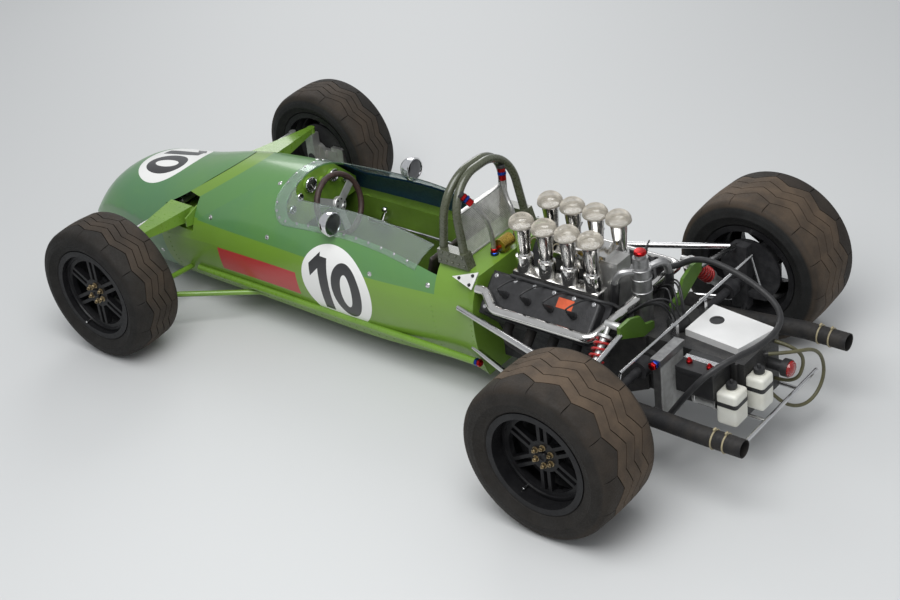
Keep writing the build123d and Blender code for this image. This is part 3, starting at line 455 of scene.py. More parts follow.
# Finishes: tone, shade, patch scale, metal, roughness range, relief, coat
FINISHES = {
    "arm_green": ((0.150, 0.285, 0.030), (0.125, 0.245, 0.027), 9, 0, (0.26, 0.36), 0, 0.4),
    # darker copy of the tub green, painted shade inside the cockpit; the inner faces carry no markings
    "tub_lining_painted_shade": ((0.120, 0.215, 0.026), (0.095, 0.170, 0.022), 6, 0, (0.36, 0.54), 0.01, 0.1),
    "dash_green": ((0.17, 0.31, 0.030), (0.13, 0.25, 0.028), 24, 0, (0.34, 0.52), 0.06, 0.1),
    "hoop_olive": ((0.070, 0.078, 0.046), (0.052, 0.058, 0.034), 16, 0, (0.22, 0.36), 0.04, 0.5),
    "cowl_lining": ((0.010, 0.045, 0.105), (0.008, 0.034, 0.080), 12, 0, (0.30, 0.48), 0.05, 0.1),
    "chrome": ((0.80, 0.80, 0.81), (0.72, 0.72, 0.74), 30, 1, (0.05, 0.12), 0.002),
    "mirror_glass": ((0.14, 0.14, 0.145), (0.10, 0.10, 0.105), 20, 1, (0.02, 0.05), 0.003),
    "polished_alloy": ((0.76, 0.75, 0.73), (0.68, 0.67, 0.65), 18, 1, (0.14, 0.21), 0.002),
    "alloy": ((0.62, 0.62, 0.61), (0.52, 0.52, 0.51), 34, 0.85, (0.34, 0.48), 0.008),
    "sheet_alloy": ((0.78, 0.78, 0.77), (0.72, 0.72, 0.71), 7, 0.35, (0.34, 0.46), 0.003),
    "frame_green": ((0.085, 0.175, 0.020), (0.065, 0.140, 0.017), 9, 0, (0.30, 0.44), 0, 0.2),
    "fin_silver": ((0.50, 0.51, 0.50), (0.40, 0.40, 0.39), 40, 0.2, (0.40, 0.60), 0.03),
    "cooler_core": ((0.42, 0.42, 0.42), (0.30, 0.30, 0.30), 40, 1, (0.35, 0.55), 0.05),
    "steel": ((0.66, 0.66, 0.66), (0.60, 0.60, 0.61), 20, 1, (0.18, 0.26), 0.002),
    "mesh_silver": ((0.62, 0.62, 0.60), (0.48, 0.48, 0.46), 40, 1, (0.30, 0.46), 0.02),
    "gauze": ((0.56, 0.52, 0.45), (0.42, 0.39, 0.34), 60, 0.5, (0.40, 0.58), 0.02),
    "cast_dark": ((0.034, 0.034, 0.036), (0.018, 0.018, 0.020), 40, 0, (0.50, 0.74), 0.25),
    "gearbox_black": ((0.016, 0.016, 0.017), (0.030, 0.029, 0.028), 30, 0, (0.40, 0.62), 0.14),
    "exhaust_black": ((0.017, 0.017, 0.018), (0.034, 0.031, 0.028), 14, 0, (0.52, 0.78), 0.10),
    "black_plastic": ((0.014, 0.014, 0.015), (0.022, 0.022, 0.023), 30, 0, (0.38, 0.56), 0.05),
    "spring_red": ((0.46, 0.020, 0.020), (0.34, 0.014, 0.014), 24, 0, (0.24, 0.40), 0.03, 0.3),
    "rim_black": ((0.008, 0.008, 0.009), (0.014, 0.014, 0.015), 18, 0, (0.36, 0.56), 0.06, 0.1),
    "wheel_rim_hide": ((0.052, 0.027, 0.023), (0.030, 0.017, 0.015), 60, 0, (0.42, 0.62), 0.30),
    "hose_black": ((0.012, 0.012, 0.013), (0.019, 0.019, 0.020), 40, 0, (0.42, 0.60), 0.06),
    "hose_olive": ((0.105, 0.098, 0.045), (0.078, 0.073, 0.034), 36, 0, (0.36, 0.52), 0.05),
    "filter_gold": ((0.60, 0.42, 0.09), (0.50, 0.34, 0.07), 40, 1, (0.24, 0.40), 0.03),
    "nut_gold": ((0.40, 0.32, 0.19), (0.22, 0.17, 0.10), 60, 1, (0.30, 0.52), 0.04),
    "mount_white": ((0.72, 0.72, 0.70), (0.60, 0.60, 0.58), 20, 0, (0.34, 0.50), 0.03, 0.2),
    "fitting_red": ((0.48, 0.018, 0.020), (0.36, 0.012, 0.014), 50, 1, (0.22, 0.36), 0.02),
    "fitting_blue": ((0.025, 0.075, 0.42), (0.018, 0.050, 0.30), 50, 1, (0.22, 0.36), 0.02),
    "nylon_cream": ((0.62, 0.54, 0.38), (0.52, 0.45, 0.31), 40, 0, (0.40, 0.56), 0.03),
    "plate_orange": ((0.62, 0.10, 0.03), (0.52, 0.08, 0.025), 50, 0, (0.44, 0.60), 0.03),
    "clip_tan": ((0.36, 0.31, 0.19), (0.28, 0.24, 0.15), 40, 0, (0.40, 0.60), 0.06),
    "dial_black": ((0.010, 0.010, 0.011), (0.014, 0.014, 0.015), 40, 0, (0.20, 0.34), 0.01, 0.6),
    "dial_white": ((0.70, 0.70, 0.66), (0.60, 0.60, 0.56), 80, 0, (0.40, 0.55), 0.01),
    "valve_silver": ((0.70, 0.70, 0.70), (0.55, 0.55, 0.55), 70, 1, (0.16, 0.30), 0.02),
}

# CAD nodes and the finish of each
NODE_FINISH = {
    "dash": "dash_green", "gear_lever": "chrome", "mirrors": "chrome", "roll_hoop": "hoop_olive",
    "engine_block": "cast_dark", "cam_covers": "crackle_black", "intake_trumpets": "polished_alloy",
    "metering_box": "alloy", "water_header": "cooler_core", "water_pipes": "polished_alloy",
    "gearbox": "gearbox_black",
    "catch_tank": "sheet_alloy", "exhaust_left": "exhaust_black", "exhaust_right": "exhaust_black",
    "battery": "black_plastic", "tail_lamp": "black_plastic", "tail_bar": "steel", "fuel_pump": "alloy",
    # the rear uprights take the dark cast finish partly for their own dark tone and partly as painted shade
    "rear_frame": "frame_green", "rear_uprights": "cast_dark", "rear_links": "steel",
    "anti_roll_bar": "steel",
    "front_rocker_arms": "arm_green", "front_wishbones": "arm_green", "side_pipes": "arm_green",
    "steering_rack": "alloy", "knuckle_front_left": "alloy", "knuckle_front_right": "alloy",
    "fuel_filter": "filter_gold", "engine_mounts": "mount_white", "oil_cooler": "cooler_core",
    "radiator": "cooler_core", "windscreen": "clear_screen", "nose_cone": "cowl_green",
}


def painted(node, *tones):
    """Give a CAD node its finishes."""
    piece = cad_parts[node]
    piece.data.materials.clear()
    for tone in tones:
        piece.data.materials.append(made(tone))
    return piece


def inside_box(tree, across, up, left, right, low, high):
    """One inside a rectangle, nothing outside."""
    wide = calc(
        tree, "LESS_THAN", calc(tree, "ABSOLUTE", calc(tree, "SUBTRACT", across, (left + right) / 2)),
        (right - left) / 2)
    tall = calc(
        tree, "LESS_THAN", calc(tree, "ABSOLUTE", calc(tree, "SUBTRACT", up, (low + high) / 2)),
        (high - low) / 2)
    return calc(tree, "MULTIPLY", wide, tall)


def inside_oval(tree, across, up, middle, wide, tall):
    """One inside an upright oval, nothing outside."""
    first = calc(tree, "POWER", calc(tree, "DIVIDE", calc(tree, "SUBTRACT", across, middle), wide), 2.0)
    second = calc(tree, "POWER", calc(tree, "DIVIDE", up, tall), 2.0)
    return calc(tree, "LESS_THAN", calc(tree, "ADD", first, second), 1.0)


def numbered(tree, across, up, where, below, paint):
    """A white disc with a plain number ten, one unit in radius."""
    disc = calc(tree, "MULTIPLY", inside_oval(tree, across, up, 0.0, 1.0, 1.0), where)
    one = inside_box(tree, across, up, -0.48, -0.20, -0.68, 0.68)
    flag = inside_box(tree, across, calc(tree, "SUBTRACT", up, across), -0.74, -0.40, 0.86, 1.18)
    ring = calc(
        tree, "SUBTRACT", inside_oval(tree, across, up, 0.30, 0.42, 0.69),
        inside_oval(tree, across, up, 0.30, 0.15, 0.42))
    ink = calc(tree, "MULTIPLY", calc(tree, "MAXIMUM", calc(tree, "MAXIMUM", one, flag), ring), disc)
    return mixed(tree, ink, mixed(tree, disc, below, tuple(paint.roundel)), tuple(paint.number))


def body_paint(name, paint, bright, duller, band):
    """Body paint with its number discs, its bare red panel and a duller top band."""
    tree, shader = finish(name, tuple(bright), tuple(duller), 2.6, 0, (0.29, 0.36), 0, 0.35)
    base = shader.inputs["Base Color"].links[0].from_socket
    parts = tree.nodes.new("ShaderNodeSeparateXYZ")
    tree.links.new(spots_of(tree), parts.inputs[0])
    x, y, z = parts.outputs
    speck = ranged(tree, grain(tree, 26, 6.0), 0.0, 0.07, 0.5, 0.75)
    base = mixed(tree, speck, base, (0.16, 0.30, 0.07))
    if band:
        slope = calc(
            tree, "ADD", x, calc(tree, "MULTIPLY", calc(tree, "SUBTRACT", z, JOINT_KNEE[1]), JOINT_SLOPE))
        behind = calc(tree, "LESS_THAN", slope, JOINT_KNEE[0] - LIME_STRIP)
        above = calc(
            tree, "MULTIPLY", calc(tree, "GREATER_THAN", z, COWL_SEAM), calc(tree, "GREATER_THAN", x, 0.55))
        base = mixed(tree, calc(tree, "MULTIPLY", behind, above), base, tuple(paint.cowl))
    flank = calc(tree, "GREATER_THAN", calc(tree, "ABSOLUTE", y), FLANK)
    way = calc(tree, "SIGN", y)
    disc_x, disc_z, wide, tall = SIDE_DISC
    across = calc(tree, "MULTIPLY", calc(tree, "DIVIDE", calc(tree, "SUBTRACT", disc_x, x), wide), way)
    up = calc(tree, "DIVIDE", calc(tree, "SUBTRACT", z, disc_z), tall)
    base = numbered(tree, across, up, flank, base, paint)
    across = calc(tree, "DIVIDE", y, NOSE_DISC[1])
    up = calc(tree, "DIVIDE", calc(tree, "SUBTRACT", NOSE_DISC[0], x), NOSE_DISC[1])
    upper = calc(tree, "GREATER_THAN", z, 0.32)
    base = numbered(tree, across, up, upper, base, paint)
    panel = calc(tree, "MULTIPLY", inside_box(tree, x, z, *SIDE_PANEL), flank)
    base = mixed(tree, panel, base, tuple(paint.panel))
    tree.links.new(base, shader.inputs["Base Color"])


class RACER_OT_stage(bpy.types.Operator):
    """Floor, lamps and the camera"""

    bl_idname = "racer.stage"
    bl_label = "Stage"

    def execute(self, context):
        p = context.scene.racer_stage
        quiet()
        bpy.ops.mesh.primitive_plane_add(size=40, location=(0, 0, 0))
        floor = context.object
        floor.name = "studio_floor"
        material = bpy.data.materials.new("studio_floor")
        material.use_nodes = True
        tree = material.node_tree
        shader = tree.nodes["Principled BSDF"]
        shader.inputs["Base Color"].default_value = (*p.floor, 1)
        shader.inputs["Roughness"].default_value = 0.6
        floor.data.materials.append(material)
        world = bpy.data.worlds.new("studio")
        context.scene.world = world
        world.use_nodes = True
        world.node_tree.nodes["Background"].inputs[0].default_value = (0.9, 0.92, 0.95, 1)
        world.node_tree.nodes["Background"].inputs[1].default_value = 0.55
        for name, spot, target, size, watts in (
            ("key_softbox", (-1.5, 2.0, 5.0), (0, 0, 0.3), 4.0, 260),
            ("fill_softbox", (3.5, -4.0, 3.5), (0, 0, 0.3), 3.0, 90),
        ):
            lamp = bpy.data.lights.new(name, "AREA")
            lamp.size = size
            lamp.energy = watts
            holder = bpy.data.objects.new(name, lamp)
            context.collection.objects.link(holder)
            holder.location = spot
            holder.rotation_euler = (Vector(target) - Vector(spot)).to_track_quat("-Z", "Y").to_euler()
        azimuth, elevation, roll = (math.radians(v) for v in (p.azimuth, p.elevation, p.roll))
        back = Vector(
            (math.sin(azimuth) * math.cos(elevation), -math.cos(azimuth) * math.cos(elevation),
             math.sin(elevation)))
        right = (-back).cross(Vector((0, 0, 1))).normalized()
        up = right.cross(-back)
        right, up = right * math.cos(roll) + up * math.sin(roll), up * math.cos(roll) - right * math.sin(roll)
        camera = bpy.data.cameras.new("photo_camera")
        camera.lens = p.lens
        camera.sensor_width = 36
        holder = bpy.data.objects.new("photo_camera", camera)
        context.collection.objects.link(holder)
        turn = Matrix((right, up, back)).transposed().to_4x4()
        holder.matrix_world = Matrix.Translation(Vector(p.place)) @ turn
        context.scene.camera = holder
        context.scene.view_settings.view_transform = "Standard"
        return {"FINISHED"}


class RACER_OT_hoses(bpy.types.Operator):
    """Free hoses at the hoop and the tail"""

    bl_idname = "racer.hoses"
    bl_label = "Hoses"

    def execute(self, context):
        for node, (points, radius, run, tone) in HOSES.items():
            piece = round_line(node + "_line", points, radius, 4)
            piece.data.resolution_u = 14
            piece.data.materials.append(made(tone))
            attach(piece, "chassis")
            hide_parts(node)
        return {"FINISHED"}


def special_finishes(paint):
    """Crackle, weave, hide, glass and tyre finishes, with painted shade in the tyre grooves."""
    tree, shader = finish(
        "crackle_black", (0.014, 0.014, 0.015), (0.024, 0.024, 0.026), 60, 0, (0.34, 0.55), 0.05)
    cells = tree.nodes.new("ShaderNodeTexVoronoi")
    cells.feature = "SMOOTH_F1"
    cells.inputs["Scale"].default_value = 260
    tree.links.new(spots_of(tree), cells.inputs["Vector"])
    raised(tree, shader, cells.outputs["Distance"], 0.6, 0.0012)
    tree, shader = finish("hose_braid", (0.52, 0.52, 0.50), (0.36, 0.36, 0.35), 120, 1, (0.28, 0.44), 0.05)
    weave = tree.nodes.new("ShaderNodeTexChecker")
    weave.inputs["Scale"].default_value = 420
    tree.links.new(spots_of(tree, (1, 1.0, 0.7)), weave.inputs["Vector"])
    raised(tree, shader, weave.outputs["Fac"], 0.8, 0.0010)
    tree, shader = finish("gauze_weave", (0.60, 0.56, 0.48), (0.48, 0.45, 0.38), 60, 0.3, (0.55, 0.75), 0.05)
    weave = tree.nodes.new("ShaderNodeTexChecker")
    weave.inputs["Scale"].default_value = 900
    tree.links.new(spots_of(tree), weave.inputs["Vector"])
    tree.links.new(ranged(tree, weave.outputs["Fac"], 0.12, 0.62, 0.0, 1.0), shader.inputs["Alpha"])
    tree, shader = finish(
        "seat_hide", (0.050, 0.042, 0.036), (0.034, 0.028, 0.024), 30, 0, (0.44, 0.62), 0.20)
    pebble = tree.nodes.new("ShaderNodeTexVoronoi")
    pebble.inputs["Scale"].default_value = 380
    tree.links.new(spots_of(tree), pebble.inputs["Vector"])
    raised(tree, shader, pebble.outputs["Distance"], 0.35, 0.0006)
    tree, shader = finish("white_plastic", (0.72, 0.72, 0.66), (0.64, 0.63, 0.56), 14, 0, (0.34, 0.50), 0.04)
    shader.inputs["Subsurface Weight"].default_value = 0.35
    shader.inputs["Subsurface Radius"].default_value = (0.02, 0.02, 0.018)
    tree, shader = finish(
        "lamp_red", (0.40, 0.010, 0.010), (0.30, 0.006, 0.006), 30, 0, (0.08, 0.16), 0.03, 0.6)
    shader.inputs["Transmission Weight"].default_value = 0.25
    tree, shader = blank("clear_screen")
    shader.inputs["Base Color"].default_value = (0.84, 0.93, 0.89, 1)
    shader.inputs["Transmission Weight"].default_value = 0.90
    shader.inputs["IOR"].default_value = 1.3
    haze = grain(tree, 30, 6.0)
    tree.links.new(ranged(tree, haze, 0.01, 0.07), shader.inputs["Roughness"])
    raised(tree, shader, grain(tree, 6), 0.01)
    tree, shader = finish(
        "tyre", tuple(paint.rubber), tuple(1.5 * v for v in paint.rubber), 22, 0, (0.62, 0.82), 0.12)
    dust_and_groove_shade = tree.nodes.new("ShaderNodeVertexColor")
    dust_and_groove_shade.layer_name = "dust_and_groove_shade"
    share = tree.nodes.new("ShaderNodeSeparateColor")
    tree.links.new(dust_and_groove_shade.outputs["Color"], share.inputs[0])
    base = shader.inputs["Base Color"].links[0].from_socket
    patchy = calc(tree, "MULTIPLY", share.outputs[0], ranged(tree, grain(tree, 12, 6.0), 0.55, 1.0))
    base = mixed(tree, patchy, base, tuple(paint.dust))
    # painted shade: the sunk grooves and slits are painted darker than the plain rubber
    base = mixed(tree, share.outputs[1], base, (0.008, 0.007, 0.006))
    tree.links.new(base, shader.inputs["Base Color"])
    for name, level in (("rim_black", 0.18), ("tyre", 0.22), ("cast_dark", 0.30), ("exhaust_black", 0.25)):
        made(name).node_tree.nodes["Principled BSDF"].inputs["Specular IOR Level"].default_value = level


def paint_nodes():
    """Finishes of the CAD nodes, with inner faces in their own; the tub's inner faces get a darker green as
    painted shade.
    """
    for node, name in NODE_FINISH.items():
        painted(node, name)
    for name in WHEELS:
        painted(f"rim_{name}", "rim_black")
        painted(f"hub_{name}", "cast_dark")
    cowl = painted("cowl", "cowl_green", "cowl_lining")
    for face in cowl.data.polygons:
        outward = Vector((0, face.center.y, face.center.z - 0.36))
        face.material_index = 1 if face.normal.dot(outward) < -0.2 * outward.length else 0
    # the tub's inner faces get the darker lining green as painted shade
    tub = painted("tub", "tub_green", "tub_lining_painted_shade")
    for face in tub.data.polygons:
        lean = 0.3 if -0.41 < face.center.x < 0.55 else 0.0
        inner = face.normal.y * math.copysign(1, face.center.y) < lean and abs(face.center.y) > 0.05
        face.material_index = 1 if inner and face.center.x < 1.0 else 0
    wheel = painted("steering_wheel", "wheel_rim_hide", "alloy")
    for face in wheel.data.polygons:
        out = face.center - HAND_WHEEL
        out -= COLUMN * out.dot(COLUMN)
        face.material_index = 0 if out.length > 0.112 else 1


class RACER_OT_finishes(bpy.types.Operator):
    """Paint, metal, rubber, hide and glass"""

    bl_idname = "racer.finishes"
    bl_label = "Finishes"

    def execute(self, context):
        paint = context.scene.racer_paint
        for name, row in FINISHES.items():
            finish(name, *row)
        body_paint("tub_green", paint, paint.tub, [0.9 * v for v in paint.tub], True)
        body_paint("cowl_green", paint, paint.cowl, paint.shade, False)
        special_finishes(paint)
        paint_nodes()
        return {"FINISHED"}


def tyre_columns(radius, half, half_rim, tread):
    """Across a tyre: offset, radius, sway, sunk depth, slit depth, dust."""
    bead = half_rim - 0.0073
    bulge = (0.208 + radius) / 2 - 0.004
    edge = half - 0.036
    shoulder = radius - 0.034
    wall = [
        (bead, 0.1912), (bead, 0.2075), (bead + 0.35 * (half - bead), 0.208 + 0.16 * (bulge - 0.208)),
        (bead + 0.36 * (half - bead), 0.208 + 0.26 * (bulge - 0.208)),
        (bead + 0.70 * (half - bead), 0.208 + 0.50 * (bulge - 0.208)), (half - 0.0012, bulge - 0.010),
        (half + 0.0006, bulge - 0.008),
        (half + 0.0006, bulge - 0.003), (half - 0.0006, bulge - 0.001),
        (half - 0.0016, bulge + 0.4 * (shoulder - bulge)),
        (half - 0.0048, bulge + 0.75 * (shoulder - bulge)), (half - 0.0090, shoulder),
        (half - 0.0122, radius - 0.0235),
        (half - 0.0160, radius - 0.0150), (half - 0.0245, radius - 0.0098),
    ]
    slits = {13: 0.0016, 14: 0.0036}
    left = [
        (off, reach, 0.0, 0.0, slits.get(k, 0.0), 0.10 if k < 12 else 0.22) for k,
        (off, reach) in enumerate(wall)]
    right = [
        (-off, reach, 0.0, 0.0, slits.get(k, 0.0), 0.0 if k < 12 else 0.5) for k,
        (off, reach) in enumerate(wall)]
    across = [(1.0, 0.0, 0.0, 1), (0.87, 0.35, 0.0, 1), (0.75, 0.75, 0.0, 1)]
    lines = [0.59, 0.197, -0.197, -0.59]
    for k, line in enumerate(lines):
        step = tread.width / edge
        across += [
            (line + 0.5 * step, 1, 0, 0), (line + 0.3 * step, 1, 1, 0), (line - 0.3 * step, 1, 1, 0),
            (line - 0.5 * step, 1, 0, 0)]
        if k < 3:
            across.append(((line + lines[k + 1]) / 2, 1, 0, 0))
    across += [(-0.75, 0.75, 0.0, 1), (-0.87, 0.35, 0.0, 1), (-1.0, 0.0, 0.0, 1)]
    crown = []
    for share, sway, sunk, slit in across:
        dust = 0.25 if share > 0.6 else 0.8 if share < -0.6 else 1.0
        crown.append(
            (share * edge, radius - 0.006 * share * share, sway, sunk * tread.depth, slit * 0.0045, dust))
    return left + crown + right[::-1]


def zigzag(turn):
    """A triangle wave, up at even turns and down at odd ones."""
    leg = int(math.floor(turn))
    along = turn - leg
    return 1 - 2 * along if leg % 2 == 0 else 2 * along - 1


class RACER_OT_tyres(bpy.types.Operator):
    """Tyres with zigzag grooves and shoulder slits"""

    bl_idname = "racer.tyres"
    bl_label = "Tyres"

    def execute(self, context):
        tread = context.scene.racer_tread
        legs = 2 * tread.kinks
        stops = (0.0, 0.03, 0.27, 0.5, 0.73, 0.97)
        turns = [leg + stop for leg in range(legs) for stop in stops] + [float(legs)]
        for name, wheel in WHEELS.items():
            columns = tyre_columns(wheel.radius, wheel.half, wheel.half_rim, tread)
            columns.append(columns[0])
            quiet()
            bpy.ops.mesh.primitive_grid_add(
                x_subdivisions=len(turns) - 1, y_subdivisions=len(columns) - 1, size=1)
            piece = context.object
            dust_and_groove_shade = piece.data.color_attributes.new("dust_and_groove_shade", "FLOAT_COLOR", "POINT")
            index = 0
            for off, out, sway, sunk, slit, dust in columns:
                for turn in turns:
                    kink = turn == math.floor(turn)
                    cut = slit if kink and (int(turn) % 2 == 0) == (off > 0) else 0.0
                    angle = 2 * math.pi * turn / legs
                    height = out - sunk - cut
                    spot = (
                        wheel.axle_x + height * math.sin(angle),
                        wheel.middle + wheel.side * (off + sway * wheel.reach * zigzag(turn)),
                        wheel.radius + height * math.cos(angle),
                    )
                    piece.data.vertices[index].co = spot
                    # red is the share of dust; green marks the grooves and slits that get painted shade
                    dust_and_groove_shade.data[index].color = (dust * wheel.dust, 1.0 if sunk + cut > 0.001 else 0.0, 0, 1)
                    index += 1
            faced_out(piece, sew=0.00005)
            dressed(piece, f"treaded_tyre_{name}", f"wheel_{name}", "tyre", smooth=40)
            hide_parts(f"tyre_{name}")
        return {"FINISHED"}


class RACER_OT_wheel_fittings(bpy.types.Operator):
    """Wheel nuts, hub caps and valves"""

    bl_idname = "racer.wheel_fittings"
    bl_label = "Wheel fittings"

    def execute(self, context):
        nut = context.scene.racer_trim.nut
        for name, wheel in WHEELS.items():
            outward = (0, wheel.side, 0)
            plane = wheel.middle + wheel.side * wheel.face

            def spot(angle, distance):
                return (
                    wheel.axle_x + distance * math.cos(angle), plane,
                    wheel.radius + distance * math.sin(angle))

            washer = turned([(1.35 * nut, 0), (1.35 * nut, 0.003), (1.2 * nut, 0.004)], 18)
            nuts = turned(
                [(nut, 0.004), (nut, 0.013), (0.8 * nut, 0.016), (0.5 * nut, 0.016), (0.45 * nut, 0.021),
                 (0.25 * nut, 0.022)], 6)
            pattern = joined([washer, nuts])
            places = [(spot(math.radians(60 * k + 30), 0.0375), outward) for k in range(6)]
            dressed(copies(pattern, places), f"wheel_nuts_{name}", f"wheel_{name}", "nut_gold", 30)
            cap = turned(
                [(0.021, 0), (0.021, 0.006), (0.018, 0.010), (0.011, 0.011), (0.010, 0.007), (0.002, 0.006)],
                28)
            dressed(place(cap, spot(0, 0), outward), f"hub_cap_{name}", f"wheel_{name}", "rim_black")
            lip = ringed([(0.1835, 0), (0.1835, 0.004), (0.1800, 0.006), (0.1690, 0.006), (0.1665, 0.0)], 72)
            dressed(place(lip, spot(0, 0), outward), f"spoke_ring_lip_{name}", f"wheel_{name}", "rim_black")
            stem = turned(
                [(0.0055, 0), (0.0055, 0.004), (0.0035, 0.006), (0.0035, 0.018), (0.0045, 0.019),
                 (0.0045, 0.030), (0.003, 0.032)], 12)
            dressed(
                place(stem, spot(math.radians(-62), 0.176), outward), f"valve_{name}", f"wheel_{name}",
                "valve_silver")
        return {"FINISHED"}


def lifted(node):
    """A copy of a CAD node's mesh as a piece of its own, with its triangles sewn together."""
    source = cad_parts[node]
    piece = source.copy()
    piece.data = source.data.copy()
    piece.parent = None
    bpy.context.collection.objects.link(piece)
    piece.matrix_world = Matrix()
    piece.hide_set(False)
    piece.hide_render = False
    return faced_out(piece, sew=0.0001)


def touched(node, origin, direction):
    """Where a line first meets a CAD node or a piece, and the surface direction there."""
    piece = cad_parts.get(node) or bpy.data.objects[node]
    hit, spot, normal, face = piece.ray_cast(Vector(origin), Vector(direction))
    if not hit:
        raise RuntimeError(f"no surface of {node} below {origin}")
    return spot, normal


class RACER_OT_body_fasteners(bpy.types.Operator):
    """Screen and tub rivets, panel fasteners and hoop screws"""

    bl_idname = "racer.body_fasteners"
    bl_label = "Body fasteners"

    def execute(self, context):
        rivet = context.scene.racer_trim.rivet
        plan = [(-0.27 + 0.066 * k, side * 0.249) for k in range(11) for side in (1, -1)]
        for k in range(1, 4):
            angle = math.radians(22.5 * k)
            plan += [
                (0.398 + 0.081 * math.sin(angle), side * (0.168 + 0.081 * math.cos(angle)))
                for side in (1, -1)]
        plan += [(0.479, 0.056 * k) for k in range(-2, 3)]
        places = [touched("windscreen", (x, y, 1), (0, 0, -1)) for x, y in plan]
        dome = turned(
            [(1.5 * rivet, -0.0005), (1.5 * rivet, 0.0006), (rivet, 0.0008), (0.85 * rivet, 0.0022),
             (0.4 * rivet, 0.0030)], 10)
        dressed(copies(dome, places), "screen_rivets", "chassis", "steel")
        places = []
        for side in (1, -1):
            for x, z in ((0.83, 0.455), (0.48, 0.455), (-0.10, 0.445), (-0.38, 0.455)):
                places.append(touched("cowl", (x, side, z), (0, -side, 0)))
            places.append(touched("cowl", (0.52, side * 0.12, 1), (0, 0, -1)))
            for x, z in ((1.19, 0.20), (1.19, 0.34)):
                places.append(touched("full_nose", (x, side, z), (0, -side, 0)))
        dome = turned(
            [(0.0105, -0.0005), (0.0105, 0.0010), (0.0080, 0.0022), (0.0074, 0.0010), (0.0060, 0.0010),
             (0.0046, 0.0022), (0.0020, 0.0026)], 16)
        dressed(copies(dome, places), "panel_fasteners", "chassis", "steel")
        rows = [
            (-0.605, 0.125 + 0.025 * k) for k in range(11)] + [(-0.40, 0.125 + 0.025 * k) for k in range(11)]
        rows += [(-0.58 + 0.04 * k, 0.118) for k in range(42)] + [(1.10, 0.15 + 0.025 * k) for k in range(9)]
        places = [touched("tub", (x, side, z), (0, -side, 0)) for x, z in rows for side in (1, -1)]
        dome = turned([(0.0040, -0.0004), (0.0040, 0.0004), (0.0030, 0.0014), (0.0012, 0.0019)], 8)
        dressed(copies(dome, places), "tub_rivets", "chassis", "arm_green")
        places = []
        for side in (1, -1):
            for k in range(5):
                places.append(((-0.548 + 0.030 * k, side * 0.227, 0.566), (0, side, 0)))
            for k in range(4):
                places.append(((-0.540 + 0.034 * k, side * 0.227, 0.600), (0, side, 0)))
        head = turned([(0.0052, -0.0003), (0.0052, 0.0030), (0.0042, 0.0042), (0.0016, 0.0042)], 8)
        dressed(copies(head, places), "hoop_shoe_screws", "chassis", "hoop_olive")
        return {"FINISHED"}


class RACER_OT_nose(bpy.types.Operator):
    """Nose cone with a fuller crown and a blunter mouth"""

    bl_idname = "racer.nose"
    bl_label = "Nose"

    def execute(self, context):
        piece = lifted("nose_cone")
        for vertex in piece.data.vertices:
            x, y, z = vertex.co
            share = (x - NOSE_FROM) / (NOSE_CAD - NOSE_FROM)
            if share <= 0:
                continue
            swell = math.sin(math.pi * share**NOSE_LATE) ** 2
            ahead = share + NOSE_PUSH * share * share * (1 - share)
            vertex.co.x = NOSE_FROM + (NOSE_TIP - NOSE_FROM) * ahead
            vertex.co.y = y * (1 + NOSE_SPREAD * swell)
            vertex.co.z = z + max(0.0, z - NOSE_BELLY) * (NOSE_RISE + NOSE_FLAT * y * y) * swell
        dressed(piece, "full_nose", "chassis", "cowl_green", smooth=40)
        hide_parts("nose_cone")
        return {"FINISHED"}


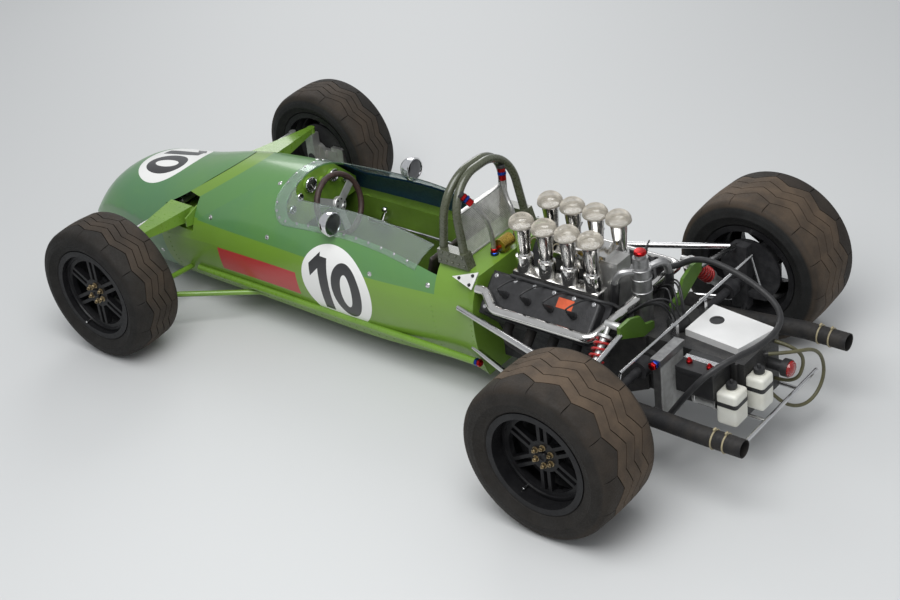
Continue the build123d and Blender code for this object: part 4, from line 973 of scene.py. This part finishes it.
class RACER_OT_cockpit(bpy.types.Operator):
    """Gauges, hand wheel screws and mirror glass"""

    bl_idname = "racer.cockpit"
    bl_label = "Cockpit"

    def execute(self, context):
        back = (-1, 0, 0)
        bezels, marks = [], []
        for y, z, radius in GAUGES:
            ring = turned(
                [(radius + 0.0010, -0.002), (radius + 0.0015, 0.004), (radius - 0.0005, 0.0065),
                 (radius - 0.0030, 0.0060),
                 (radius - 0.0035, 0.0015)], 36)
            bezels.append(place(ring, (DASH_FACE, y, z), back))
            for k in range(9):
                angle = math.radians(210 - 30 * k)
                inner, outer = 0.68 * radius, 0.84 * radius
                bar = bevelled_box((-0.0006, inner, 0), (0.0006, outer, 0.0008), 0.0002, 1)
                bar.data.transform(Matrix.Rotation(angle - math.pi / 2, 4, "Z"))
                marks.append(place(bar, (DASH_FACE - 0.0013, y, z), back))
            needle = bevelled_box((-0.0009, -0.15 * radius, 0), (0.0009, 0.72 * radius, 0.0010), 0.0003, 1)
            needle.data.transform(Matrix.Rotation(math.radians(118), 4, "Z"))
            marks.append(place(needle, (DASH_FACE - 0.0024, y, z), back))
        bezels = dressed(joined(bezels), "gauge_bezels", "chassis", ("chrome", "dial_black"))
        for face in bezels.data.polygons:
            face.material_index = 1 if len(face.vertices) > 8 and face.center.x < DASH_FACE else 0
        dressed(joined(marks), "gauge_marks", "chassis", "dial_white")
        side_dir = Vector((0, 1, 0))
        up_dir = COLUMN.cross(side_dir)
        face = HAND_WHEEL + COLUMN * 0.007
        boss = turned(
            [(0.0320, -0.001), (0.0320, 0.002), (0.0300, 0.004), (0.0140, 0.004), (0.0120, 0.0015),
             (0.0040, 0.0010)], 36)
        dressed(place(boss, face, COLUMN), "hand_wheel_boss", "hand_wheel", "alloy")
        screw = turned(
            [(0.0042, 0.003), (0.0042, 0.0065), (0.0034, 0.0075), (0.0022, 0.0075), (0.0018, 0.0050),
             (0.0006, 0.0050)], 10)
        places = []
        for k in range(6):
            angle = math.radians(60 * k)
            places.append((face + (side_dir * math.cos(angle) + up_dir * math.sin(angle)) * 0.022, COLUMN))
        dressed(copies(screw, places), "hand_wheel_screws", "hand_wheel", "black_plastic")
        rings, panes = [], []
        for side in (1, -1):
            spot = (FRONT_AXLE - 0.926, side * 0.266, 0.606)
            rings.append(
                place(ringed([(0.0495, -0.004), (0.0515, -0.003), (0.0515, 0.002), (0.0490, 0.0045),
                (0.0455, 0.0035), (0.0445, 0.0)], 48), spot, back))
            pane = turned(
                [(0.0450, 0.0002), (0.0450, 0.0016), (0.0440, 0.0022), (0.0200, 0.0026), (0.0050, 0.0027)],
                48)
            panes.append(place(pane, spot, back))
        dressed(joined(rings), "mirror_rims", "chassis", "chrome")
        dressed(joined(panes), "mirror_panes", "chassis", "mirror_glass", 60)
        return {"FINISHED"}


class RACER_OT_seat(bpy.types.Operator):
    """Padded seat"""

    bl_idname = "racer.seat"
    bl_label = "Seat"

    def execute(self, context):
        pad = lifted("seat")
        only(pad)
        bpy.ops.object.mode_set(mode="EDIT")
        bpy.ops.mesh.select_all(action="SELECT")
        bpy.ops.transform.shrink_fatten(value=-0.004)
        quiet()
        applied(pad, "REMESH", mode="VOXEL", voxel_size=0.007)
        rest = [v.co.copy() for v in pad.data.vertices]
        only(pad)
        cloth = pad.modifiers.new("pad_cloth", "CLOTH")
        cloth.settings.use_pressure = True
        cloth.settings.uniform_pressure_force = 4
        cloth.settings.effector_weights.gravity = 0
        cloth.point_cache.frame_start = 1
        cloth.point_cache.frame_end = 20
        for step in range(1, 21):
            context.scene.frame_set(step)
        bpy.ops.object.modifier_apply(modifier=cloth.name)
        context.scene.frame_set(1)
        for vertex, start in zip(pad.data.vertices, rest):
            move = vertex.co - start
            if move.length > PAD_SWELL:
                vertex.co = start + move.normalized() * PAD_SWELL
        for vertex in pad.data.vertices:
            across = abs(vertex.co.y)
            seam = min(abs(across - 0.055), abs(across - 0.120))
            if seam < 0.010 and vertex.normal.z + vertex.normal.x > 0.3:
                vertex.co -= vertex.normal * 0.005 * (1 - seam / 0.010)
        applied(pad, "SUBSURF", levels=1, render_levels=1)
        dressed(pad, "seat_pad", "chassis", "seat_hide", smooth=80)
        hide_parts("seat")
        return {"FINISHED"}


class RACER_OT_guard_and_gauzes(bpy.types.Operator):
    """Perforated guard behind the driver and the wire domes on the trumpets"""

    bl_idname = "racer.guard_and_gauzes"
    bl_label = "Guard and gauzes"

    def execute(self, context):
        trim = context.scene.racer_trim
        quiet()
        bpy.ops.mesh.primitive_grid_add(x_subdivisions=44, y_subdivisions=27, size=1)
        sheet = context.object
        foot, top = Vector((TUB_REAR + 0.1195, 0, 0.551)), Vector((TUB_REAR + 0.1465, 0, 0.733))
        for vertex in sheet.data.vertices:
            spot = foot.lerp(top, vertex.co.y + 0.5)
            vertex.co = (spot.x, 0.298 * vertex.co.x, spot.z)
        applied(sheet, "WIREFRAME", thickness=trim.lattice, use_even_offset=False, use_replace=True)
        strips = [
            bevelled_box((TUB_REAR + 0.145, -0.150, 0.7315), (TUB_REAR + 0.168, 0.150, 0.7350), 0.0008),
            bevelled_box((TUB_REAR + 0.1165, -0.150, 0.550), (TUB_REAR + 0.1280, 0.150, 0.556), 0.0008),
        ]
        guard = dressed(joined([sheet] + strips), "guard_lattice", "chassis", "mesh_silver")
        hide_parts("mesh_guard")
        quiet()
        bpy.ops.mesh.primitive_grid_add(x_subdivisions=28, y_subdivisions=28, size=0.104)
        dome = context.object
        bpy.ops.object.mode_set(mode="EDIT")
        bpy.ops.mesh.select_mode(type="VERT")
        bpy.ops.mesh.select_all(action="DESELECT")
        bpy.ops.object.mode_set(mode="OBJECT")
        for vertex in dome.data.vertices:
            vertex.select = vertex.co.xy.length > 0.0505
        bpy.ops.object.mode_set(mode="EDIT")
        bpy.ops.mesh.delete(type="VERT")
        bpy.ops.object.mode_set(mode="OBJECT")
        for vertex in dome.data.vertices:
            share = min(1.0, vertex.co.xy.length / 0.0512)
            vertex.co.z = 0.004 + 0.044 * math.sqrt(max(0.0, 1 - share * share))
        applied(dome, "WIREFRAME", thickness=trim.gauze, use_even_offset=False, use_replace=True)
        band = ringed(
            [(0.0430, -0.002), (0.0440, -0.004), (0.0455, 0.0), (0.0505, 0.001), (0.0515, 0.004),
             (0.0505, 0.008), (0.0480, 0.006),
             (0.0430, 0.004)], 40)
        skin = turned(
            [(0.0425, 0.0), (0.0495, 0.002), (0.0505, 0.008), (0.0475, 0.0205), (0.0410, 0.0310),
             (0.0310, 0.0393), (0.0190, 0.0452), (0.0070, 0.0478)], 40)
        skins = copies(skin, over_bores(TRUMPET_MOUTH))
        dressed(skins, "gauze_weave", "chassis", "gauze_weave", 60)
        pattern = joined([dome, band])
        domes = dressed(copies(pattern, over_bores(TRUMPET_MOUTH)), "gauze_domes", "chassis", "gauze")
        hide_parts("trumpet_gauzes")
        return {"FINISHED"}


def over_bores(height):
    """Upright places over the eight bores."""
    return [((x, side * TRUMPET_Y, height), (0, 0, 1)) for x in BORES for side in (1, -1)]


def bank_spot(x, reach, across, side):
    """A place on a cylinder bank, by reach from the crank and across the bank."""
    return Vector((x, side * SLANT * (reach + across), CRANK_Z + SLANT * (reach - across)))


class RACER_OT_trumpets(bpy.types.Operator):
    """Tapered intake trumpets on their manifolds"""

    bl_idname = "racer.trumpets"
    bl_label = "Trumpets"

    def execute(self, context):
        cone = turned(
            [(0.0350, -0.062), (0.0350, 0.0), (0.0340, 0.004), (0.0265, 0.006), (0.0260, 0.014),
             (0.0245, 0.016), (0.0300, 0.080),
             (0.0345, 0.122), (0.0390, 0.132), (0.0425, 0.1355), (0.0415, 0.1365), (0.0340, 0.130)], 40)
        cones = copies(cone, over_bores(TRUMPET_FOOT))
        bases = []
        for side in (1, -1):
            middle = side * TRUMPET_Y
            bases.append(
                bevelled_box((BORES[0] - 0.042, middle - 0.035, 0.460),
                (BORES[-1] + 0.042, middle + 0.035, 0.542), 0.006))
        piece = dressed(joined([cones] + bases), "tapered_trumpets", "chassis", "polished_alloy")
        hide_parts("intake_trumpets")
        return {"FINISHED"}


def hose_nut(radius, reach):
    """A round hose nut with eased ends."""
    ease = 0.002
    return turned(
        [(0.85 * radius, 0), (radius, ease), (radius, reach - ease), (0.85 * radius, reach),
         (0.7 * radius, reach)], 12)


def bolt_covers(bolt):
    """Bolts along the cam covers."""
    head = turned(
        [(1.5 * bolt, -0.001), (1.5 * bolt, 0.0012), (bolt, 0.0014), (bolt, 0.0062), (0.8 * bolt, 0.0074),
         (0.3 * bolt, 0.0074)], 6)
    places = []
    for side in (1, -1):
        outward = (0, side * SLANT, SLANT)
        for k in range(6):
            x = -1.128 + 0.0908 * k
            for across in (-0.064, 0.064):
                places.append((bank_spot(x, COVER_TOP, across, side), outward))
    dressed(copies(head, places), "cover_bolts", "chassis", "steel")


def bolt_mounts():
    """Bolts of the engine mount plates."""
    bolts = turned(
        [(0.0075, -0.0005), (0.0075, 0.0012), (0.0052, 0.0014), (0.0052, 0.0070), (0.0042, 0.0080),
         (0.0015, 0.0080)], 6)
    places = []
    for side in (1, -1):
        for x, y, z in MOUNT_BOLTS:
            places.append(((x, side * y, z), (-0.02, side * 0.835, 0.55)))
    dressed(copies(bolts, places), "mount_bolts", "chassis", "black_plastic")


def boot_plugs():
    """Plug boots and the stubs of their leads."""
    boots, leads = [], []
    for side in (1, -1):
        outward = (0, side * SLANT, SLANT)
        for x in BORES:
            boot = turned(
                [(0.0135, 0.008), (0.0135, 0.014), (0.0105, 0.020), (0.0095, 0.040), (0.0065, 0.046),
                 (0.0060, 0.054)], 16)
            boots.append(place(boot, bank_spot(x, COVER_TOP, 0, side), outward))
            start = bank_spot(x, COVER_TOP + 0.050, 0, side)
            over = bank_spot(x - 0.012, COVER_TOP + 0.078, -0.018, side)
            down = bank_spot(x - 0.036, COVER_TOP + 0.030, -0.070, side)
            end = bank_spot(x - 0.050, COVER_TOP + 0.004, -0.074, side)
            leads.append(
                bent_tube([start, bank_spot(x, COVER_TOP + 0.076, 0, side), over, down, end], 0.0034, 2))
    dressed(joined(boots), "plug_boots", "chassis", "black_plastic")
    dressed(joined(leads), "plug_lead_stubs", "chassis", "hose_black")


def pipe_nozzles():
    """Fuel nozzles and their thin pipes."""
    nozzles, pipes = [], []
    for x in BORES:
        for side in (1, -1):
            spot = Vector((x, side * (TRUMPET_Y - 0.026), 0.628))
            stub = turned(
                [(0.0085, 0), (0.0085, 0.006), (0.0055, 0.008), (0.0055, 0.014), (0.0070, 0.015),
                 (0.0070, 0.020), (0.0030, 0.022)], 12)
            nozzles.append(place(stub, spot, (0, -side * 0.8, 0.6)))
            start = spot + Vector((0, -side * 0.012, 0.010))
            pipes.append(
                bent_tube([start, start + Vector((0, -side * 0.020, 0.020)),
                start + Vector((-0.030, -side * 0.030, 0.004)), (x - 0.045, side * 0.030, 0.560)], 0.0026, 2))
    dressed(joined(nozzles), "fuel_nozzles", "chassis", "filter_gold")
    dressed(joined(pipes), "injector_pipes", "chassis", "nylon_cream")


def box_valley():
    """Box in the valley between the banks."""
    lids = [
        bevelled_box((-1.088, -0.054, 0.572), (-0.926, 0.042, 0.656), 0.002),
        bevelled_box((-1.091, -0.057, 0.652), (-0.923, 0.045, 0.660), 0.002),
    ]
    dressed(joined(lids), "valley_box", "chassis", "polished_alloy", smooth=30)


def run_loom():
    """Loom along the covers, and the distributor with its leads."""
    loom = []
    for side in (1, -1):
        line = [
            bank_spot(x, COVER_TOP + 0.006, -0.080, side) for x in (-0.740, -0.840, -0.960, -1.080, -1.150)]
        loom.append(
            bent_tube(line + [Vector((-1.200, side * 0.120, 0.520)), Vector((-1.220, side * 0.100, 0.440))],
            0.0070, 3))
    dressed(joined(loom), "lead_loom", "chassis", "hose_black")
    cap = turned(
        [(0.0400, 0), (0.0400, 0.012), (0.0440, 0.014), (0.0440, 0.034), (0.0340, 0.050), (0.0140, 0.054)],
        24)
    fan = [place(cap, DISTRIBUTOR)]
    for side in (1, -1):
        for k in range(4):
            angle = math.radians(20 + 44 * k)
            root = Vector(DISTRIBUTOR) + Vector(
                (0.026 * math.cos(angle), side * 0.026 * math.sin(angle), 0.040))
            end = Vector((-1.212 - 0.008 * k, side * (0.096 + 0.009 * k), 0.470 + 0.010 * k))
            rise = root + Vector((0.012, side * 0.010, 0.060 + 0.012 * k))
            across = (root + end) / 2 + Vector((0.0, side * 0.022, 0.070 + 0.010 * k))
            fan.append(bent_tube([root, rise, across, end], 0.0038, 2))
    dressed(joined(fan), "distributor_and_leads", "chassis", "hose_black")


def pipe_header():
    """Elbows, beads and sleeves of the water header."""
    elbows = [
        bent_tube([(-1.220, 0.045, 0.632), (-1.190, 0.078, 0.642), (-1.166, 0.090, 0.620),
            (-1.158, 0.090, 0.575)], 0.0155),
        bent_tube([(-1.245, -0.004, 0.632), (-1.272, -0.048, 0.646), (-1.282, -0.085, 0.622),
            (-1.278, -0.096, 0.560)], 0.0155),
    ]
    for z, radius in ((0.640, 0.0400), (0.600, 0.0395), (0.545, 0.0395)):
        elbows.append(
            place(ringed([(0.0300, 0), (radius, 0), (radius + 0.002, 0.002), (radius + 0.002, 0.005),
            (radius, 0.007), (0.0300, 0.007)], 36), (HEADER_X, HEADER_Y, z)))
    dressed(joined(elbows), "header_elbows", "chassis", "cooler_core")
    sleeves = [
        bent_tube([(-1.162, 0.090, 0.592), (-1.157, 0.090, 0.560), (-1.150, 0.088, 0.520),
            (-1.140, 0.084, 0.470)], 0.0185),
        bent_tube([(-1.279, -0.093, 0.578), (-1.278, -0.098, 0.540), (-1.270, -0.104, 0.490),
            (-1.262, -0.106, 0.440)], 0.0185),
    ]
    dressed(joined(sleeves), "header_sleeves", "chassis", "hose_black")


def plate_cover():
    """Bare plate on the left cover."""
    label = bevelled_box((-0.036, -0.020, 0), (0.036, 0.020, 0.0012), 0.0005, 1)
    turn = Matrix(((1, 0, 0), (0, SLANT, SLANT), (0, -SLANT, SLANT))).to_4x4()
    label.data.transform(Matrix.Translation(bank_spot(-1.010, COVER_TOP, -0.034, 1)) @ turn)
    dressed(label, "cover_plate", "chassis", "plate_orange")


def fit_hoses():
    """Coloured hose fittings."""
    hexes = {"fitting_red": [], "fitting_blue": [], "black_plastic": []}
    for node in ("fuel_hose_left", "fuel_hose_right"):
        points = HOSES[node][0]
        start, along = Vector(points[0]), (Vector(points[1]) - Vector(points[0])).normalized()
        for tone, back, reach, radius in (
            ("black_plastic", -0.042, 0.014, 0.0150), ("fitting_red", -0.028, 0.014, 0.0165),
            ("fitting_blue", -0.014, 0.012, 0.0180), ("fitting_red", -0.002, 0.024, 0.0150),
        ):
            nut = hose_nut(radius, reach)
            hexes[tone].append(place(nut, start + along * back, along))
        foot = Vector(points[-1])
        for tone, height, reach, radius in (
            ("fitting_blue", 0.0, 0.014, 0.0165), ("fitting_red", 0.014, 0.016, 0.0145)):
            nut = hose_nut(radius, reach)
            hexes[tone].append(place(nut, foot + Vector((0, 0, height))))
    for x, y, z, along, tone in (
        (-1.475, 0.316, 0.466, (0, 1, 0), "fitting_blue"), (-1.475, 0.330, 0.466, (0, 1, 0), "fitting_red"),
        (-1.475, 0.316, 0.2185, (0, 1, 0), "fitting_red"), (-1.475, 0.330, 0.2185, (0, 1, 0), "fitting_blue"),
        (-0.600, 0.289, 0.175, (-1, 0, 0), "fitting_blue"),
        (-0.600, -0.289, 0.175, (-1, 0, 0), "fitting_blue"),
        (-0.614, 0.289, 0.175, (-1, 0, 0), "fitting_red"), (-0.614, -0.289, 0.175, (-1, 0, 0), "fitting_red"),
    ):
        nut = turned(
            [(0.0145, 0), (0.0165, 0.002), (0.0165, 0.012), (0.0145, 0.014), (0.0100, 0.014),
             (0.0100, 0.018), (0.0040, 0.019)], 6)
        hexes[tone].append(place(nut, (x, y, z), along))
    cap = turned([(0.0250, 0.0), (0.0250, 0.010), (0.0220, 0.014), (0.0080, 0.015)], 10)
    hexes["fitting_red"].append(place(cap, (HEADER_X, HEADER_Y, 0.704)))
    dressed(joined(hexes["fitting_red"]), "red_fittings", "chassis", "fitting_red", 30)
    dressed(joined(hexes["fitting_blue"]), "blue_fittings", "chassis", "fitting_blue", 30)
    dressed(joined(hexes["black_plastic"]), "hose_end_caps", "chassis", "black_plastic")


class RACER_OT_engine_fittings(bpy.types.Operator):
    """Cover bolts, plug boots, nozzles and coloured fittings"""

    bl_idname = "racer.engine_fittings"
    bl_label = "Engine fittings"

    def execute(self, context):
        bolt_covers(context.scene.racer_trim.bolt)
        bolt_mounts()
        boot_plugs()
        pipe_nozzles()
        box_valley()
        run_loom()
        pipe_header()
        plate_cover()
        fit_hoses()
        return {"FINISHED"}


class RACER_OT_springs(bpy.types.Operator):
    """Rear dampers with coil springs"""

    bl_idname = "racer.springs"
    bl_label = "Springs"

    def execute(self, context):
        bodies, coils = [], []
        for side in (1, -1):
            top = Vector((REAR_AXLE + 0.080, side * 0.262, 0.532))
            foot = Vector((REAR_AXLE + 0.080, side * 0.5375, 0.262))
            along = foot - top
            reach = along.length
            body = turned(
                [(0.0100, 0), (0.0100, 0.10 * reach), (0.0300, 0.115 * reach), (0.0300, 0.14 * reach),
                 (0.0140, 0.15 * reach),
                 (0.0140, 0.50 * reach), (0.0300, 0.60 * reach), (0.0300, 0.63 * reach),
                 (0.0210, 0.64 * reach),
                 (0.0210, 0.86 * reach), (0.0110, 0.88 * reach), (0.0110, reach)], 24)
            bodies.append(place(body, top, along))
            for spot in (top, foot):
                eye = turned(
                    [(0.0140, -0.046), (0.0150, -0.044), (0.0150, 0.014), (0.0140, 0.016), (0.0070, 0.016)],
                    18)
                bodies.append(place(eye, spot, (1, 0, 0)))
            quiet()
            bpy.ops.mesh.primitive_circle_add(
                vertices=10, radius=0.0052, location=(0.0275, 0, 0), rotation=(math.pi / 2, 0, 0))
            wire = context.object
            bpy.ops.object.transform_apply(location=True, rotation=True)
            turns = 7
            rise = 0.43 * reach
            applied(
                wire, "SCREW", axis="Z", steps=22, render_steps=22, iterations=turns,
                screw_offset=rise / turns, use_merge_vertices=False)
            faced_out(wire, holes=12)
            coils.append(place(wire, top + along * 0.155, along))
        damper = dressed(joined(bodies), "damper_bodies", "chassis", "alloy")
        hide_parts("rear_dampers")
        dressed(joined(coils), "coil_springs", "chassis", "spring_red", smooth=60)
        return {"FINISHED"}


class RACER_OT_tail(bpy.types.Operator):
    """Bottles, battery trim, tank mouth, pump ends, lamp lens, pipe clips and cooler fins"""

    bl_idname = "racer.tail"
    bl_label = "Tail"

    def execute(self, context):
        bottles, caps = [], []
        for low, high in BOTTLES:
            bottles.append(bevelled_box(low, high, 0.014, 4))
            middle = ((low[0] + high[0]) / 2, (low[1] + high[1]) / 2, high[2])
            neck = turned([(0.0240, -0.006), (0.0190, 0.004), (0.0180, 0.010)], 28)
            bottles.append(place(neck, middle))
            cap = turned(
                [(0.0200, 0.006), (0.0210, 0.008), (0.0210, 0.022), (0.0190, 0.026), (0.0070, 0.027),
                 (0.0060, 0.040),
                 (0.0045, 0.041)], 24)
            caps.append(place(cap, middle))
            belt = low[2] + 0.62 * (high[2] - low[2])
            caps.append(
                bevelled_box((low[0] - 0.001, low[1] - 0.001, belt),
                (high[0] + 0.001, high[1] + 0.001, belt + 0.010), 0.014, 4))
        stand = dressed(joined(bottles), "tail_bottles", "chassis", "white_plastic")
        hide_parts("bottles")
        dressed(joined(caps), "bottle_caps_and_straps", "chassis", "black_plastic")
        posts = []
        for x in (-1.550, -1.635):
            post = turned(
                [(0.0120, 0), (0.0120, 0.010), (0.0095, 0.013), (0.0060, 0.020), (0.0030, 0.021)], 16)
            posts.append(place(post, (x, 0.210, 0.432)))
        dressed(joined(posts), "battery_posts", "chassis", "fitting_red")
        straps = [
            bevelled_box((-1.674, 0.166, 0.4315), (-1.513, 0.190, 0.4345), 0.0008, 1),
            bevelled_box((-1.5155, 0.166, 0.326), (-1.5125, 0.190, 0.4345), 0.0008, 1),
        ]
        dressed(joined(straps), "battery_strap", "chassis", "steel")
        lid = bevelled_box((-1.6725, 0.1345, 0.408), (-1.5145, 0.2535, 0.4325), 0.003, 2)
        dressed(lid, "battery_lid", "chassis", "black_plastic")
        mouth = turned(
            [(0.0280, 0), (0.0280, 0.0012), (0.0270, 0.0018), (0.0186, 0.0018), (0.0180, -0.0120),
             (0.0020, -0.0120)], 32)
        dressed(place(mouth, (REAR_AXLE - 0.184, -0.052, 0.453)), "tank_mouth", "chassis", "black_plastic")
        pump = []
        for x in (-1.660, -1.575):
            pump.append(
                place(turned([(0.0340, 0), (0.0365, 0.002), (0.0365, 0.012), (0.0340, 0.014),
                (0.0150, 0.014), (0.0130, 0.020), (0.0060, 0.020)], 28), (x, 0.190, 0.290), (1, 0, 0)))
        dressed(joined(pump), "pump_ends", "chassis", "alloy")
        lens = turned(
            [(0.0310, 0), (0.0310, 0.004), (0.0280, 0.010), (0.0250, 0.0095), (0.0210, 0.0130),
             (0.0180, 0.0125), (0.0120, 0.0155), (0.0030, 0.0165)], 40)
        dressed(place(lens, (-1.813, -0.052, 0.335), (-1, 0, 0)), "lamp_lens", "chassis", "lamp_red")
        clips = []
        for side in (1, -1):
            for x in (-1.758, -1.806):
                ring = ringed(
                    [(0.0345, -0.003), (0.0380, -0.003), (0.0395, 0.0), (0.0380, 0.003), (0.0345, 0.003)], 36)
                clips.append(place(ring, (x, side * TAIL_PIPE_Y, TAIL_PIPE_Z), (1, 0, 0)))
                clips.append(
                    bevelled_box((x - 0.004, side * TAIL_PIPE_Y - 0.008, 0.312),
                    (x + 0.004, side * TAIL_PIPE_Y + 0.008, 0.324), 0.002))
        dressed(joined(clips), "tail_pipe_clips", "chassis", "clip_tan")
        fin = bevelled_box((-1.4915, 0.1590, 0.234), (-1.4565, 0.1603, 0.450), 0.0004, 1)
        applied(
            fin, "ARRAY", count=44, use_relative_offset=False, use_constant_offset=True,
            constant_offset_displace=(0, 0.0034, 0))
        dressed(fin, "cooler_fins", "chassis", "fin_silver")
        return {"FINISHED"}


class RACER_PT_panel(bpy.types.Panel):
    """Steps that dress the racing car"""

    bl_label = "Racing car"
    bl_idname = "RACER_PT_panel"
    bl_space_type = "VIEW_3D"
    bl_region_type = "UI"
    bl_category = "Racing car"

    def draw(self, context):
        for step in STEPS:
            self.layout.operator(step.bl_idname)


GROUPS = {
    "racer_stage": RacerStage,
    "racer_paint": RacerPaint,
    "racer_tread": RacerTread,
    "racer_trim": RacerTrim,
}
STEPS = (
    RACER_OT_stage,
    RACER_OT_finishes,
    RACER_OT_hoses,
    RACER_OT_tyres,
    RACER_OT_wheel_fittings,
    RACER_OT_nose,
    RACER_OT_body_fasteners,
    RACER_OT_cockpit,
    RACER_OT_seat,
    RACER_OT_guard_and_gauzes,
    RACER_OT_trumpets,
    RACER_OT_engine_fittings,
    RACER_OT_springs,
    RACER_OT_tail,
)


def register():
    for cls in (*GROUPS.values(), *STEPS, RACER_PT_panel):
        bpy.utils.register_class(cls)
    for name, group in GROUPS.items():
        setattr(bpy.types.Scene, name, bpy.props.PointerProperty(type=group))


def unregister():
    for name in GROUPS:
        delattr(bpy.types.Scene, name)
    for cls in (RACER_PT_panel, *reversed(STEPS), *GROUPS.values()):
        bpy.utils.unregister_class(cls)


def main():
    register()
    bpy.ops.racer.stage()
    bpy.ops.racer.finishes()
    bpy.ops.racer.hoses()
    bpy.ops.racer.tyres()
    bpy.ops.racer.wheel_fittings()
    bpy.ops.racer.nose()
    bpy.ops.racer.body_fasteners()
    bpy.ops.racer.cockpit()
    bpy.ops.racer.seat()
    bpy.ops.racer.guard_and_gauzes()
    bpy.ops.racer.trumpets()
    bpy.ops.racer.engine_fittings()
    bpy.ops.racer.springs()
    bpy.ops.racer.tail()


if __name__ == "__main__":
    main()
